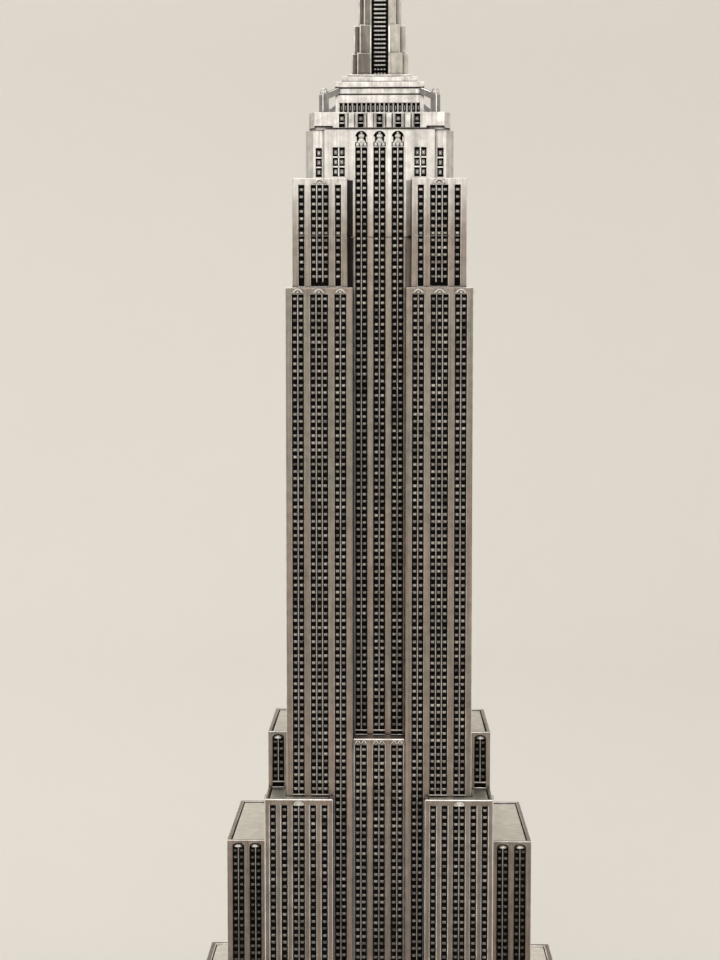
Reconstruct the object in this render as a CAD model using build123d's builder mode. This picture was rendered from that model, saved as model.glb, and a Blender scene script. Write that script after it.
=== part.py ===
from build123d import *

import os

os.makedirs("parts", exist_ok=True)

# A desk-size cast replica of a stepped skyscraper, built from separate castings.
#
# The tower stands on the XY plane with its centre line on Z. Its wide faces look
# along -Y (front) and +Y (back), its narrow faces along -X (left) and +X (right).
# Stacked hollow castings are clamped on one long tie rod. Each setback has a flat
# roof plate that drops into a pocket behind its parapet.

# ---- window bays --------------------------------------------------------------
column_w = 1.56       # one column of windows
pilaster_w = 1.64     # pier between two window strips on the shaft
strip_deep = 0.45     # how far a window strip is sunk into its wall
head_h = 1.7          # plain band between a strip's head and the parapet's top
sill_h = 0.5          # plain band between a strip's foot and the roof below
base_sill_h = 3.2     # shop-front band at the street

# ---- casting and fitting ------------------------------------------------------
wall = 1.6            # wall of a hollow casting
base_wall = 2.6       # wall of the two bottom tiers
parapet = 1.0         # parapet behind which a roof plate sits
base_parapet = 1.6    # the same on the two bottom tiers
roof_t = 1.2          # roof plate
base_roof_t = 2.4     # load-bearing roof plate of the two bottom tiers
roof_drop = 0.3       # roof plate below the top of its parapet
roof_gap = 0.3        # groove left all round a roof plate
fit_gap = 0.05        # clearance between castings that slot together
panel_t = 1.2         # recess panel
peg_r = 0.6           # locating peg under a casting
peg_l = 1.2

# ---- heights of the tiers -----------------------------------------------------
felt_t = 0.8
felt_in = 0.5         # felt inside the edge of the street tier
base_h = 19.5         # street tier, above the felt
lower_h = 18.2        # lower tier, above the street tier's roof plate
side_h = 46.9         # side blocks, above the lower tier's roof plate
corner_h = 60.2       # corner blocks
bay_h = 75.3          # end bays and centre aprons
wing_h = 193.7        # wings of the shaft
stub_h = 13.5         # foot of the shoulders, still part of the shaft castings
shoulder_h = 14.8     # shoulders above the joint between shaft and crown
crown_h = 28.0        # crown above the same joint
deck_h = 4.3
lantern_h = 5.6
cap_step_h = (1.7, 1.7, 1.7, 0.9)

# ---- plan sizes ---------------------------------------------------------------
base_ledge_x = 6.1    # street tier beyond the lower tier
base_ledge_y = 3.4
lower_ledge_x = 10.2  # lower tier beyond the side blocks
lower_ledge_y = 3.64  # lower tier in front of the corner blocks
side_w = 10.7         # side block, outwards from the corner blocks
side_d = 39.5
corner_w = 18.0       # front face of a corner block
corner_proud = 4.16   # corner block in front of the shaft's wide face
collar_proud = 5.62   # corner blocks and end bays beyond the shaft's narrow face
bay_d = 30.0          # end bay, along the narrow face
recess_edge = 0.58    # half pilaster at each side of the wide face's centre recess
recess_deep = 5.72
end_recess_edge = 1.17    # the same on the narrow face
end_recess_deep = 4.88
shoulder_set = 1.7    # shoulders behind the shaft's faces
crown_panel_w = 28.9  # proud centre panel of the crown
crown_set = 1.2       # crown flanks behind that panel
crown_chamfer = 2.1
deck_in = 1.05        # deck inside the crown's narrow faces
deck_out = 0.4        # deck in front of the crown's wide faces
deck_chamfer = 1.5
deck_slots = 5
deck_slot_pitch = 4.9
deck_slot_low = 0.4   # foot of a deck slot above the crown
deck_slot_h = 3.5
cove_h = 0.8          # cove under the ends of the deck
cove_deep = 1.2
ornament_h = 4.7      # niche band above the strips of the crown
niche_top = 0.45      # crown above the arch of a niche
niche_sill = 0.3      # band between a niche and the strip below it
arch_rise = 0.95      # low arch over the strips of the side blocks and end bays
apron_chamfer = 0.6
lantern_w = 23.4
lantern_slots = 18
lantern_slot_pitch = 1.2
lantern_slot_w = 0.84
lantern_slot_z = 1.0  # foot of a lantern slot above the deck
lantern_slot_h = 2.5
shadow_h = 0.3        # groove under each step of the cap and under the deck
shadow_in = 0.3
cap_in = 0.1          # first step of the cap inside the lantern
cap_out = 0.15        # second step beyond the lantern
cap_rim = 0.9         # top step beyond the foot of the mast
buttress_t = 1.6
buttress_reach = 5.25 # outer face of a buttress's post from the lantern's corner
post_w = 2.2
post_h = 5.9
post_chamfer = 0.8
arm_top = 2.2         # buttress's arm above the lantern's top, where it meets the cap
arm_deep = 1.8
arm_in = 1.2          # inner end of the arm inside the lantern's corner

# ---- fasteners and underside --------------------------------------------------
plate_t = 3.0         # steel weight plate in the underside
rod_r = 1.5
bore_gap = 0.06       # radial clearance round the rod and the screws
nut_h = 2.4
nut_r = 3.1           # across corners, halved
washer_t = 0.5
washer_r = 3.5
boss_w = 7.0
screw_l = 10.0
screw_head_r = 2.75
drive_w = 2.6         # cross slot in a screw head
drive_t = 0.6
rod_inset = 0.2       # foot of the tie rod inside the weight plate
rod_proud = 1.5       # thread showing beyond the upper nut
rod_chamfer = 0.3
peg_inset = 3.0       # corner block's inner peg behind the tower's corner
diaphragm_t = 2.0
diaphragm_h = 10.0    # underside of the clamping diaphragm above the joint
spigot_h = 2.0        # spigot of the deck inside the crown
plug_r = 5.0          # round plug under the lantern and the cap
plug_h = 1.5

# ---- mast and antenna ---------------------------------------------------------
core_half = 2.2       # half width of the glazed strip on each face of the mast
core_reach = 5.2      # centre line to the glazed strip
wing_steps = ((5.9, 6.1, 7.6), (7.5, 5.45, 7.0), (9.6, 4.35, 5.75))  # height, slab, outer
collar_h = 2.4
collar_r = 5.3
collar_step = 0.5
drum_h = 4.6
drum_r = 4.3
drum_windows = 16
drum_window_w = 0.8
dome_h = 6.2
dome_rim = 0.35       # dome's rim beyond the drum
dome_rim_h = 0.7
dome_step = 0.9       # dome inside its rim
dome_step_h = 0.6
tenon_r = 1.3
tenon_l = 1.6
socket_h = 8.5        # antenna socket
socket_r = 1.35
socket_ring = 0.45    # rings round the antenna socket
socket_ring_h = 0.9
antenna_h = 43.0
antenna_r = 0.75
antenna_tip_r = 0.28
antenna_ring = 0.3    # rings round the antenna
antenna_ring_h = 0.7

# ---- levels worked out from the heights ---------------------------------------
base_top = felt_t + base_h
base_roof_z = base_top - roof_drop
lower_top = base_roof_z + lower_h
foot_z = lower_top - roof_drop
side_top = foot_z + side_h
corner_top = foot_z + corner_h
bay_top = foot_z + bay_h
wing_top = foot_z + wing_h
joint_z = wing_top + stub_h
shoulder_top = joint_z + shoulder_h
crown_top = joint_z + crown_h
deck_top = crown_top + deck_h
lantern_top = deck_top + lantern_h
cap_top = lantern_top + sum(cap_step_h)
mast_top = cap_top + sum(height for height, slab, outer in wing_steps)
collar_top = mast_top + collar_h
drum_top = collar_top + drum_h
dome_top = drum_top + dome_h
socket_top = dome_top + socket_h

# ---- plan lines worked out from the bays --------------------------------------
wing_bays = (2, 3, 2)
end_wing_bays = (2, 2)
recess_bays = (2, 2, 2)
end_recess_bays = (2, 2, 2, 2, 2)
shoulder_bays = (1, 3, 1)
end_shoulder_bays = (3,)
corner_bays = (1, 1, 2, 1, 1)
end_corner_bays = (1, 2, 1)


def bays_width(bays, edge=pilaster_w):
    """Width of a wall with these window strips, full pilasters between them and this edge."""
    return sum(bays) * column_w + (len(bays) - 1) * pilaster_w + 2 * edge


wing_w = bays_width(wing_bays)
end_wing_w = bays_width(end_wing_bays)
recess_w = bays_width(recess_bays, recess_edge)
end_recess_w = bays_width(end_recess_bays, end_recess_edge)
tower_w = 2 * wing_w + recess_w
tower_d = 2 * end_wing_w + end_recess_w
half_w = tower_w / 2
half_d = tower_d / 2
shoulder_w = bays_width(shoulder_bays)
shoulder_d = bays_width(end_shoulder_bays)
shoulder_x = half_w - shoulder_set
shoulder_y = half_d - shoulder_set
core_x = half_w - end_recess_deep
core_y = half_d - recess_deep
collar_x = half_w + collar_proud
corner_y = half_d + corner_proud
corner_x = collar_x - corner_w
side_x = collar_x + side_w
hollow_x = core_x - panel_t - wall
hollow_y = core_y - panel_t - wall
lower_w = 2 * (side_x + lower_ledge_x)
lower_d = 2 * (corner_y + lower_ledge_y)
base_w = lower_w + 2 * base_ledge_x
base_d = lower_d + 2 * base_ledge_y
deck_w = 2 * (core_x - deck_in)
deck_d = 2 * (core_y + deck_out)
lantern_half = lantern_w / 2
cap_top_half = wing_steps[0][2] + cap_rim
cap_middle = (lantern_half + cap_top_half) / 2
cap_halves = (lantern_half - cap_in, lantern_half + cap_out, cap_middle, cap_top_half)
cap_steps = tuple(zip(cap_step_h, cap_halves))

SIDES = (-1, 1)
CORNERS = [(sx, sy) for sy in SIDES for sx in SIDES]
SIDE_NAME = {-1: "left", 1: "right"}
FACE_NAME = {-1: "front", 1: "back"}


# ---- helpers ------------------------------------------------------------------
def face_plane(axis, sign, reach):
    """Drawing plane of an outside wall: its x runs along the wall, its y is height."""
    if axis == "y":
        return Plane(origin=(0, sign * reach, 0), x_dir=(-sign, 0, 0), z_dir=(0, sign, 0))
    return Plane(origin=(sign * reach, 0, 0), x_dir=(0, sign, 0), z_dir=(sign, 0, 0))


def along(plane, x, y):
    """Where the world point x, y falls along a wall."""
    return plane.to_local_coords(Vector(x, y, 0)).X


def strip_places(width, bays, edge=None):
    """Centre and width of each window strip on a wall; pilasters share what is left."""
    spare = width - sum(bays) * column_w
    if edge is None:
        pilaster = spare / (len(bays) + 1)
        edge = pilaster
    else:
        pilaster = (spare - 2 * edge) / (len(bays) - 1)
    places = []
    start = -width / 2 + edge
    for columns in bays:
        places.append((start + columns * column_w / 2, columns * column_w))
        start += columns * column_w + pilaster
    return places


def pair_bays(width):
    """As many double window strips as a wall of this width takes."""
    return (2,) * int((width - pilaster_w) / (2 * column_w + pilaster_w) + 0.01)


def cut_strips(plane, centre, places, low, high):
    """Sink window strips into the wall that lies in this plane."""
    with BuildSketch(plane) as strips:
        for offset_x, width in places:
            with Locations((centre + offset_x, (low + high) / 2)):
                Rectangle(width, high - low)
    extrude(strips.sketch, amount=-strip_deep, mode=Mode.SUBTRACT)


def cut_arches(plane, centre, places, spring):
    """Round the heads of window strips off with a low arch that springs at this height."""
    with BuildSketch(plane) as arches:
        for offset_x, width in places:
            with Locations((centre + offset_x, spring)):
                Ellipse(width / 2, arch_rise)
    extrude(arches.sketch, amount=-strip_deep, mode=Mode.SUBTRACT)


def cut_niches(plane, places, low, high):
    """Sink round-headed niches into the wall that lies in this plane."""
    with BuildSketch(plane) as niches:
        for offset_x, width in places:
            spring = high - width / 2
            with Locations((offset_x, (low + spring) / 2)):
                Rectangle(width, spring - low)
            with Locations((offset_x, spring)):
                Circle(width / 2)
    extrude(niches.sketch, amount=-strip_deep, mode=Mode.SUBTRACT)


def block(x1, x2, y1, y2, z1, z2, mode=Mode.ADD):
    """A rectangular block between opposite corners."""
    with Locations(((x1 + x2) / 2, (y1 + y2) / 2, (z1 + z2) / 2)):
        Box(abs(x2 - x1), abs(y2 - y1), abs(z2 - z1), mode=mode)


def pegs(points, z):
    """Locating pegs under a casting whose underside is at z."""
    for x, y in points:
        with Locations((x, y, z - peg_l / 2)):
            Cylinder(peg_r, peg_l)


def peg_holes(points, z):
    """Blind holes for those pegs, in a plate whose top is at z."""
    for x, y in points:
        with Locations((x, y, z - peg_l / 2 - fit_gap)):
            Cylinder(peg_r + fit_gap, peg_l + 2 * fit_gap, mode=Mode.SUBTRACT)


def socket(r, z, depth):
    """A round socket opening upwards at z."""
    with Locations((0, 0, z - depth / 2)):
        Cylinder(r + fit_gap, depth, mode=Mode.SUBTRACT)


def rod_hole(z1, z2):
    """Clearance hole on the centre line for the tie rod."""
    with Locations((0, 0, (z1 + z2) / 2)):
        Cylinder(rod_r + bore_gap, z2 - z1, mode=Mode.SUBTRACT)


def save(name, piece):
    piece.part.label = name
    export_step(piece.part, f"parts/{name}.step")


# ---- underside: felt, weight plate, screws ------------------------------------
seat_w = base_w - 2 * base_parapet
seat_d = base_d - 2 * base_parapet
screw_x = base_w / 2 - base_wall - boss_w / 2
screw_y = base_d / 2 - base_wall - boss_w / 2
screw_points = [(sx * screw_x, sy * screw_y) for sx, sy in CORNERS]

with BuildPart() as felt_pad:
    with BuildSketch():
        Rectangle(base_w - 2 * felt_in, base_d - 2 * felt_in)
    extrude(amount=felt_t)
save("felt_pad", felt_pad)

with BuildPart() as base_plate:
    with BuildSketch(Plane.XY.offset(felt_t)):
        Rectangle(seat_w - 2 * fit_gap, seat_d - 2 * fit_gap)
    extrude(amount=plate_t)
    for x, y in screw_points:
        with Locations(Plane(origin=(x, y, felt_t), z_dir=(0, 0, -1))):
            CounterSinkHole(rod_r + bore_gap, screw_head_r + bore_gap, counter_sink_angle=90)
    rod_hole(felt_t, felt_t + plate_t)
save("base_plate", base_plate)

with BuildPart() as base_screws:
    head_l = screw_head_r - rod_r
    for x, y in screw_points:
        with BuildSketch(Plane(origin=(x, y, 0), x_dir=(1, 0, 0), z_dir=(0, -1, 0))):
            with BuildLine():
                Polyline(
                    (0, felt_t),
                    (screw_head_r, felt_t),
                    (rod_r, felt_t + head_l),
                    (rod_r, felt_t + screw_l - rod_r / 2),
                    (rod_r / 2, felt_t + screw_l),
                    (0, felt_t + screw_l),
                    close=True,
                )
            make_face()
        revolve(axis=Axis((x, y, 0), (0, 0, 1)))
    for x, y in screw_points:
        for turn in (0, 90):
            with Locations(Location((x, y, felt_t + drive_t / 2), (0, 0, turn))):
                Box(drive_w, drive_t, drive_t, mode=Mode.SUBTRACT)
save("base_screws", base_screws)

# ---- street tier --------------------------------------------------------------
with BuildPart() as base_shell:
    with BuildSketch(Plane.XY.offset(felt_t)):
        Rectangle(base_w, base_d)
    extrude(amount=base_h)
    block(-seat_w / 2, seat_w / 2, -seat_d / 2, seat_d / 2, felt_t, felt_t + plate_t, Mode.SUBTRACT)
    inner_w = base_w - 2 * base_wall
    inner_d = base_d - 2 * base_wall
    base_seat_z = base_roof_z - base_roof_t
    with BuildSketch(Plane.XY.offset(felt_t + plate_t)):
        Rectangle(inner_w, inner_d)
        for x, y in screw_points:
            with Locations((x, y)):
                Rectangle(boss_w, boss_w, mode=Mode.SUBTRACT)
    extrude(amount=base_seat_z - felt_t - plate_t, mode=Mode.SUBTRACT)
    block(-seat_w / 2, seat_w / 2, -seat_d / 2, seat_d / 2, base_seat_z, base_top, Mode.SUBTRACT)
    for x, y in screw_points:
        with Locations((x, y, felt_t + plate_t + screw_l / 2)):
            Cylinder(rod_r + bore_gap, screw_l, mode=Mode.SUBTRACT)
    for sign in SIDES:
        places = strip_places(base_w, pair_bays(base_w))
        cut_strips(face_plane("y", sign, base_d / 2), 0, places, felt_t + base_sill_h, base_top - head_h)
        places = strip_places(base_d, pair_bays(base_d))
        cut_strips(face_plane("x", sign, base_w / 2), 0, places, felt_t + base_sill_h, base_top - head_h)
save("base_shell", base_shell)

lower_pegs = [(sx * (lower_w - boss_w) / 2, sy * (lower_d - boss_w) / 2) for sx, sy in CORNERS]

with BuildPart() as base_roof:
    with BuildSketch(Plane.XY.offset(base_seat_z)):
        Rectangle(seat_w - 2 * roof_gap, seat_d - 2 * roof_gap)
    extrude(amount=base_roof_t)
    rod_hole(base_seat_z, base_roof_z)
    peg_holes(lower_pegs, base_roof_z)
save("base_roof", base_roof)

# ---- lower tier ---------------------------------------------------------------
lower_seat_w = lower_w - 2 * base_parapet
lower_seat_d = lower_d - 2 * base_parapet
lower_seat_z = foot_z - base_roof_t

with BuildPart() as lower_tier:
    with BuildSketch(Plane.XY.offset(base_roof_z)):
        Rectangle(lower_w, lower_d)
    extrude(amount=lower_h)
    with BuildSketch(Plane.XY.offset(base_roof_z)):
        Rectangle(lower_w - 2 * base_wall, lower_d - 2 * base_wall)
        for sx, sy in CORNERS:
            with Locations((sx * (lower_w - boss_w) / 2, sy * (lower_d - boss_w) / 2)):
                Rectangle(boss_w, boss_w, mode=Mode.SUBTRACT)
    extrude(amount=lower_h, mode=Mode.SUBTRACT)
    with BuildSketch(Plane.XY.offset(lower_seat_z)):
        Rectangle(lower_seat_w, lower_seat_d)
    extrude(amount=lower_top - lower_seat_z, mode=Mode.SUBTRACT)
    for sign in SIDES:
        low = base_roof_z + sill_h
        high = lower_top - head_h
        places = strip_places(lower_w, pair_bays(lower_w))
        cut_strips(face_plane("y", sign, lower_d / 2), 0, places, low, high)
        places = strip_places(lower_d, pair_bays(lower_d))
        cut_strips(face_plane("x", sign, lower_w / 2), 0, places, low, high)
    pegs(lower_pegs, base_roof_z)
save("lower_tier", lower_tier)

# Locating pegs of everything that stands on the lower tier's roof.
side_pegs = [(side_x - wall / 2, -side_d / 4), (side_x - wall / 2, side_d / 4)]
corner_pegs = [
    (corner_x + corner_w / 4, corner_y - corner_proud / 2),
    (collar_x - collar_proud / 2, half_d - peg_inset),
]
bay_pegs = [(collar_x - wall / 2, -bay_d / 4), (collar_x - wall / 2, bay_d / 4)]
shaft_pegs = [(half_w - wing_w / 2, half_d - wall / 2)]
standing_pegs = side_pegs + corner_pegs + bay_pegs + shaft_pegs
all_pegs = sorted({(sx * x, sy * y) for x, y in standing_pegs for sx, sy in CORNERS})

with BuildPart() as lower_roof:
    with BuildSketch(Plane.XY.offset(lower_seat_z)):
        Rectangle(lower_seat_w - 2 * roof_gap, lower_seat_d - 2 * roof_gap)
    extrude(amount=base_roof_t)
    rod_hole(lower_seat_z, foot_z)
    peg_holes(all_pegs, foot_z)
save("lower_roof", lower_roof)

# ---- side blocks and their roofs ----------------------------------------------
for sx in SIDES:
    with BuildPart() as side_block:
        block(sx * collar_x, sx * side_x, -side_d / 2, side_d / 2, foot_z, side_top)
        inner = (sx * (collar_x + wall), sx * (side_x - wall), wall - side_d / 2, side_d / 2 - wall)
        block(*inner, foot_z, side_top, Mode.SUBTRACT)
        seat_z = side_top - roof_drop - roof_t
        seat = (sx * collar_x, sx * (side_x - parapet), parapet - side_d / 2, side_d / 2 - parapet)
        block(*seat, seat_z, side_top, Mode.SUBTRACT)
        for sy in SIDES:
            plane = face_plane("y", sy, side_d / 2)
            middle = along(plane, sx * (collar_x + side_w / 2), 0)
            places = strip_places(side_w, (2, 2))
            cut_strips(plane, middle, places, foot_z + sill_h, side_top - head_h)
            cut_arches(plane, middle, places, side_top - head_h)
        plane = face_plane("x", sx, side_x)
        places = strip_places(side_d, pair_bays(side_d))
        cut_strips(plane, 0, places, foot_z + sill_h, side_top - head_h)
        cut_arches(plane, 0, places, side_top - head_h)
        pegs([(sx * x, y) for x, y in side_pegs], foot_z)
    save(f"side_block_{SIDE_NAME[sx]}", side_block)

    with BuildPart() as side_roof:
        x1 = sx * (collar_x + roof_gap)
        x2 = sx * (side_x - parapet - roof_gap)
        y2 = side_d / 2 - parapet - roof_gap
        block(x1, x2, -y2, y2, seat_z, seat_z + roof_t)
    save(f"side_roof_{SIDE_NAME[sx]}", side_roof)

# ---- corner blocks and their roofs --------------------------------------------
for sx, sy in CORNERS:
    tower_corner = (0, sx * (half_w + fit_gap), 0, sy * (half_d + fit_gap))
    seat_z = corner_top - roof_drop - roof_t
    with BuildPart() as corner_block:
        block(sx * corner_x, sx * collar_x, sy * bay_d / 2, sy * corner_y, foot_z, corner_top)
        block(*tower_corner, foot_z, corner_top, Mode.SUBTRACT)
        seat_x = (sx * (corner_x + parapet), sx * (collar_x - parapet))
        block(*seat_x, sy * bay_d / 2, sy * (corner_y - parapet), seat_z, corner_top, Mode.SUBTRACT)
        plane = face_plane("y", sy, corner_y)
        middle = along(plane, sx * (corner_x + corner_w / 2), 0)
        places = strip_places(corner_w, corner_bays)
        cut_strips(plane, middle, places, foot_z + sill_h, corner_top - head_h)
        plane = face_plane("x", sx, collar_x)
        middle = along(plane, 0, sy * (bay_d / 2 + corner_y) / 2)
        for place in strip_places(corner_y - bay_d / 2, end_corner_bays):
            beside = abs(middle + place[0]) > side_d / 2
            low = foot_z + sill_h if beside else side_top
            cut_strips(plane, middle, [place], low, corner_top - head_h)
        pegs([(sx * x, sy * y) for x, y in corner_pegs], foot_z)
    name = f"{FACE_NAME[sy]}_{SIDE_NAME[sx]}"
    save(f"corner_block_{name}", corner_block)

    with BuildPart() as corner_roof:
        x1 = sx * (corner_x + parapet + roof_gap)
        x2 = sx * (collar_x - parapet - roof_gap)
        y1 = sy * (bay_d / 2 + roof_gap)
        y2 = sy * (corner_y - parapet - roof_gap)
        block(x1, x2, y1, y2, seat_z, seat_z + roof_t)
        clear = roof_gap + fit_gap
        block(0, sx * (half_w + clear), 0, sy * (half_d + clear), seat_z, seat_z + roof_t, Mode.SUBTRACT)
    save(f"corner_roof_{name}", corner_roof)

# ---- end bays and their roofs -------------------------------------------------
for sx in SIDES:
    seat_z = bay_top - roof_drop - roof_t
    bay_y = bay_d / 2 - fit_gap
    with BuildPart() as end_bay:
        block(sx * (half_w + fit_gap), sx * (collar_x - fit_gap), -bay_y, bay_y, foot_z, bay_top)
        inner = (sx * half_w, sx * (collar_x - wall), wall - bay_y, bay_y - wall)
        block(*inner, foot_z, bay_top, Mode.SUBTRACT)
        seat = (sx * half_w, sx * (collar_x - parapet), parapet - bay_y, bay_y - parapet)
        block(*seat, seat_z, bay_top, Mode.SUBTRACT)
        for sy in SIDES:
            plane = face_plane("y", sy, bay_y)
            middle = along(plane, sx * (half_w + collar_proud / 2), 0)
            places = strip_places(collar_proud, (2,))
            cut_strips(plane, middle, places, corner_top, bay_top - head_h)
            cut_arches(plane, middle, places, bay_top - head_h)
        plane = face_plane("x", sx, collar_x - fit_gap)
        places = strip_places(bay_d, pair_bays(bay_d))
        cut_strips(plane, 0, places, side_top, bay_top - head_h)
        cut_arches(plane, 0, places, bay_top - head_h)
        pegs([(sx * x, y) for x, y in bay_pegs], foot_z)
    save(f"end_bay_{SIDE_NAME[sx]}", end_bay)

    with BuildPart() as bay_roof:
        x1 = sx * (half_w + roof_gap)
        x2 = sx * (collar_x - parapet - roof_gap)
        y2 = bay_y - parapet - roof_gap
        block(x1, x2, -y2, y2, seat_z, seat_z + roof_t)
    save(f"bay_roof_{SIDE_NAME[sx]}", bay_roof)

# ---- shaft: two half shells that meet on the mid plane -------------------------
channel = recess_deep + panel_t
end_channel = end_recess_deep + panel_t


def wing_plan():
    """Plan of the shaft with its wings and the recess on each face."""
    Rectangle(tower_w, tower_d)
    with Locations((0, half_d - channel / 2), (0, channel / 2 - half_d)):
        Rectangle(recess_w, channel, mode=Mode.SUBTRACT)
    with Locations((half_w - end_channel / 2, 0), (end_channel / 2 - half_w, 0)):
        Rectangle(end_channel, end_recess_w, mode=Mode.SUBTRACT)


def crown_plan(outline):
    """Plan of the crown: chamfered block with a proud centre panel on each wide face."""
    Rectangle(2 * core_x, 2 * (core_y - crown_set))
    chamfer(outline.vertices(), length=crown_chamfer)
    Rectangle(crown_panel_w, 2 * core_y)


def shoulder_plan():
    """Plan of the four shoulders."""
    for sx, sy in CORNERS:
        with Locations((sx * (shoulder_x - shoulder_w / 2), sy * (shoulder_y - shoulder_d / 2))):
            Rectangle(shoulder_w, shoulder_d)


def shoulder_strips(low, high):
    """Window strips on the two outer faces of every shoulder."""
    for sx, sy in CORNERS:
        plane = face_plane("y", sy, shoulder_y)
        middle = along(plane, sx * (shoulder_x - shoulder_w / 2), 0)
        cut_strips(plane, middle, strip_places(shoulder_w, shoulder_bays), low, high)
        plane = face_plane("x", sx, shoulder_x)
        middle = along(plane, 0, sy * (shoulder_y - shoulder_d / 2))
        cut_strips(plane, middle, strip_places(shoulder_d, end_shoulder_bays), low, high)


with BuildPart() as shaft:
    with BuildSketch(Plane.XY.offset(foot_z)):
        wing_plan()
        offset(amount=-wall, kind=Kind.INTERSECTION, mode=Mode.SUBTRACT)
    extrude(amount=wing_h - wall)
    with BuildSketch(Plane.XY.offset(wing_top - wall)):
        wing_plan()
        Rectangle(2 * hollow_x, 2 * hollow_y, mode=Mode.SUBTRACT)
    extrude(amount=wall)
    with BuildSketch(Plane.XY.offset(wing_top)) as outline:
        crown_plan(outline)
        shoulder_plan()
        Rectangle(2 * hollow_x, 2 * hollow_y, mode=Mode.SUBTRACT)
        with Locations((0, core_y - panel_t / 2), (0, panel_t / 2 - core_y)):
            Rectangle(recess_w, panel_t, mode=Mode.SUBTRACT)
        with Locations((core_x - panel_t / 2, 0), (panel_t / 2 - core_x, 0)):
            Rectangle(panel_t, end_recess_w, mode=Mode.SUBTRACT)
    extrude(amount=stub_h)
    for sx, sy in CORNERS:
        plane = face_plane("y", sy, half_d)
        middle = along(plane, sx * (half_w - wing_w / 2), 0)
        cut_strips(plane, middle, strip_places(wing_w, wing_bays), foot_z + sill_h, wing_top - head_h)
        plane = face_plane("x", sx, half_w)
        middle = along(plane, 0, sy * (half_d - end_wing_w / 2))
        places = strip_places(end_wing_w, end_wing_bays)
        cut_strips(plane, middle, places, foot_z + sill_h, wing_top - head_h)
    shoulder_strips(wing_top + sill_h, joint_z)

for sy in SIDES:
    with BuildPart() as shaft_half:
        add(shaft.part)
        split(bisect_by=Plane.XZ, keep=Keep.TOP if sy < 0 else Keep.BOTTOM)
        pegs([(sx * x, sy * y) for sx in SIDES for x, y in shaft_pegs], foot_z)
    save(f"shaft_{FACE_NAME[sy]}", shaft_half)

# ---- recess panels and the aprons that close the foot of the recess ------------
for sy in SIDES:
    with BuildPart() as recess_panel:
        half = recess_w / 2 - fit_gap
        block(-half, half, sy * core_y, sy * (core_y - panel_t), foot_z, joint_z)
        places = strip_places(recess_w, recess_bays, recess_edge)
        cut_strips(face_plane("y", sy, core_y), 0, places, bay_top, joint_z)
    save(f"recess_panel_{FACE_NAME[sy]}", recess_panel)

    with BuildPart() as apron:
        block(-half, half, sy * core_y, sy * half_d, foot_z, bay_top)
        cut_strips(face_plane("y", sy, half_d), 0, places, foot_z + sill_h, bay_top - head_h)
        top_edge = apron.edges().group_by(Axis.Z)[-1].sort_by(Axis.Y)[0 if sy > 0 else -1]
        chamfer(top_edge, length=apron_chamfer)
    save(f"apron_{FACE_NAME[sy]}", apron)

for sx in SIDES:
    with BuildPart() as end_panel:
        half = end_recess_w / 2 - fit_gap
        block(sx * core_x, sx * (core_x - panel_t), -half, half, foot_z, joint_z)
        places = strip_places(end_recess_w, end_recess_bays, end_recess_edge)
        cut_strips(face_plane("x", sx, core_x), 0, places, bay_top, joint_z)
    save(f"end_panel_{SIDE_NAME[sx]}", end_panel)

# ---- crown casting with its shoulders -----------------------------------------
side_window_x = (recess_w + crown_panel_w) / 4
flank_window_x = (crown_panel_w / 2 + core_x - crown_chamfer) / 2
diaphragm_z = joint_z + diaphragm_h
shoulder_seat_z = shoulder_top - roof_drop - roof_t

with BuildPart() as crown:
    with BuildSketch(Plane.XY.offset(joint_z)) as outline:
        crown_plan(outline)
        shoulder_plan()
    extrude(amount=shoulder_h)
    with BuildSketch(Plane.XY.offset(shoulder_top)) as outline:
        crown_plan(outline)
    extrude(amount=crown_top - shoulder_top)
    with BuildSketch(Plane.XY.offset(joint_z)):
        Rectangle(2 * hollow_x, 2 * hollow_y)
    extrude(amount=diaphragm_h, mode=Mode.SUBTRACT)
    with BuildSketch(Plane.XY.offset(diaphragm_z + diaphragm_t)):
        Rectangle(2 * hollow_x, 2 * hollow_y)
    extrude(amount=crown_top - diaphragm_z - diaphragm_t, mode=Mode.SUBTRACT)
    rod_hole(diaphragm_z, diaphragm_z + diaphragm_t)
    for sx, sy in CORNERS:
        x1 = sx * (shoulder_x - shoulder_w + parapet)
        x2 = sx * (shoulder_x - parapet)
        y1 = sy * (shoulder_y - shoulder_d + parapet)
        y2 = sy * (shoulder_y - parapet)
        with BuildSketch(Plane.XY.offset(shoulder_seat_z)):
            with Locations(((x1 + x2) / 2, (y1 + y2) / 2)):
                Rectangle(abs(x2 - x1), abs(y2 - y1))
            Rectangle(2 * core_x, 2 * (core_y - crown_set), mode=Mode.SUBTRACT)
            Rectangle(crown_panel_w, 2 * core_y, mode=Mode.SUBTRACT)
        extrude(amount=shoulder_top - shoulder_seat_z, mode=Mode.SUBTRACT)
    shoulder_strips(joint_z, shoulder_top - head_h)
    window_low = shoulder_top + 2 * sill_h
    window_high = crown_top - ornament_h
    for sign in SIDES:
        plane = face_plane("y", sign, core_y)
        places = strip_places(recess_w, recess_bays, recess_edge)
        cut_strips(plane, 0, places, joint_z, window_high)
        cut_niches(plane, places, window_high + niche_sill, crown_top - niche_top)
        windows = [(-side_window_x, 2 * column_w), (side_window_x, 2 * column_w)]
        cut_strips(plane, 0, windows, window_low, window_high)
        plane = face_plane("y", sign, core_y - crown_set)
        windows = [(-flank_window_x, column_w), (flank_window_x, column_w)]
        cut_strips(plane, 0, windows, window_low, window_high)
        plane = face_plane("x", sign, core_x)
        places = strip_places(end_recess_w, end_recess_bays, end_recess_edge)
        cut_strips(plane, 0, places, joint_z, window_high)
        cut_niches(plane, places, window_high + niche_sill, crown_top - niche_top)
save("crown", crown)

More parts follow.
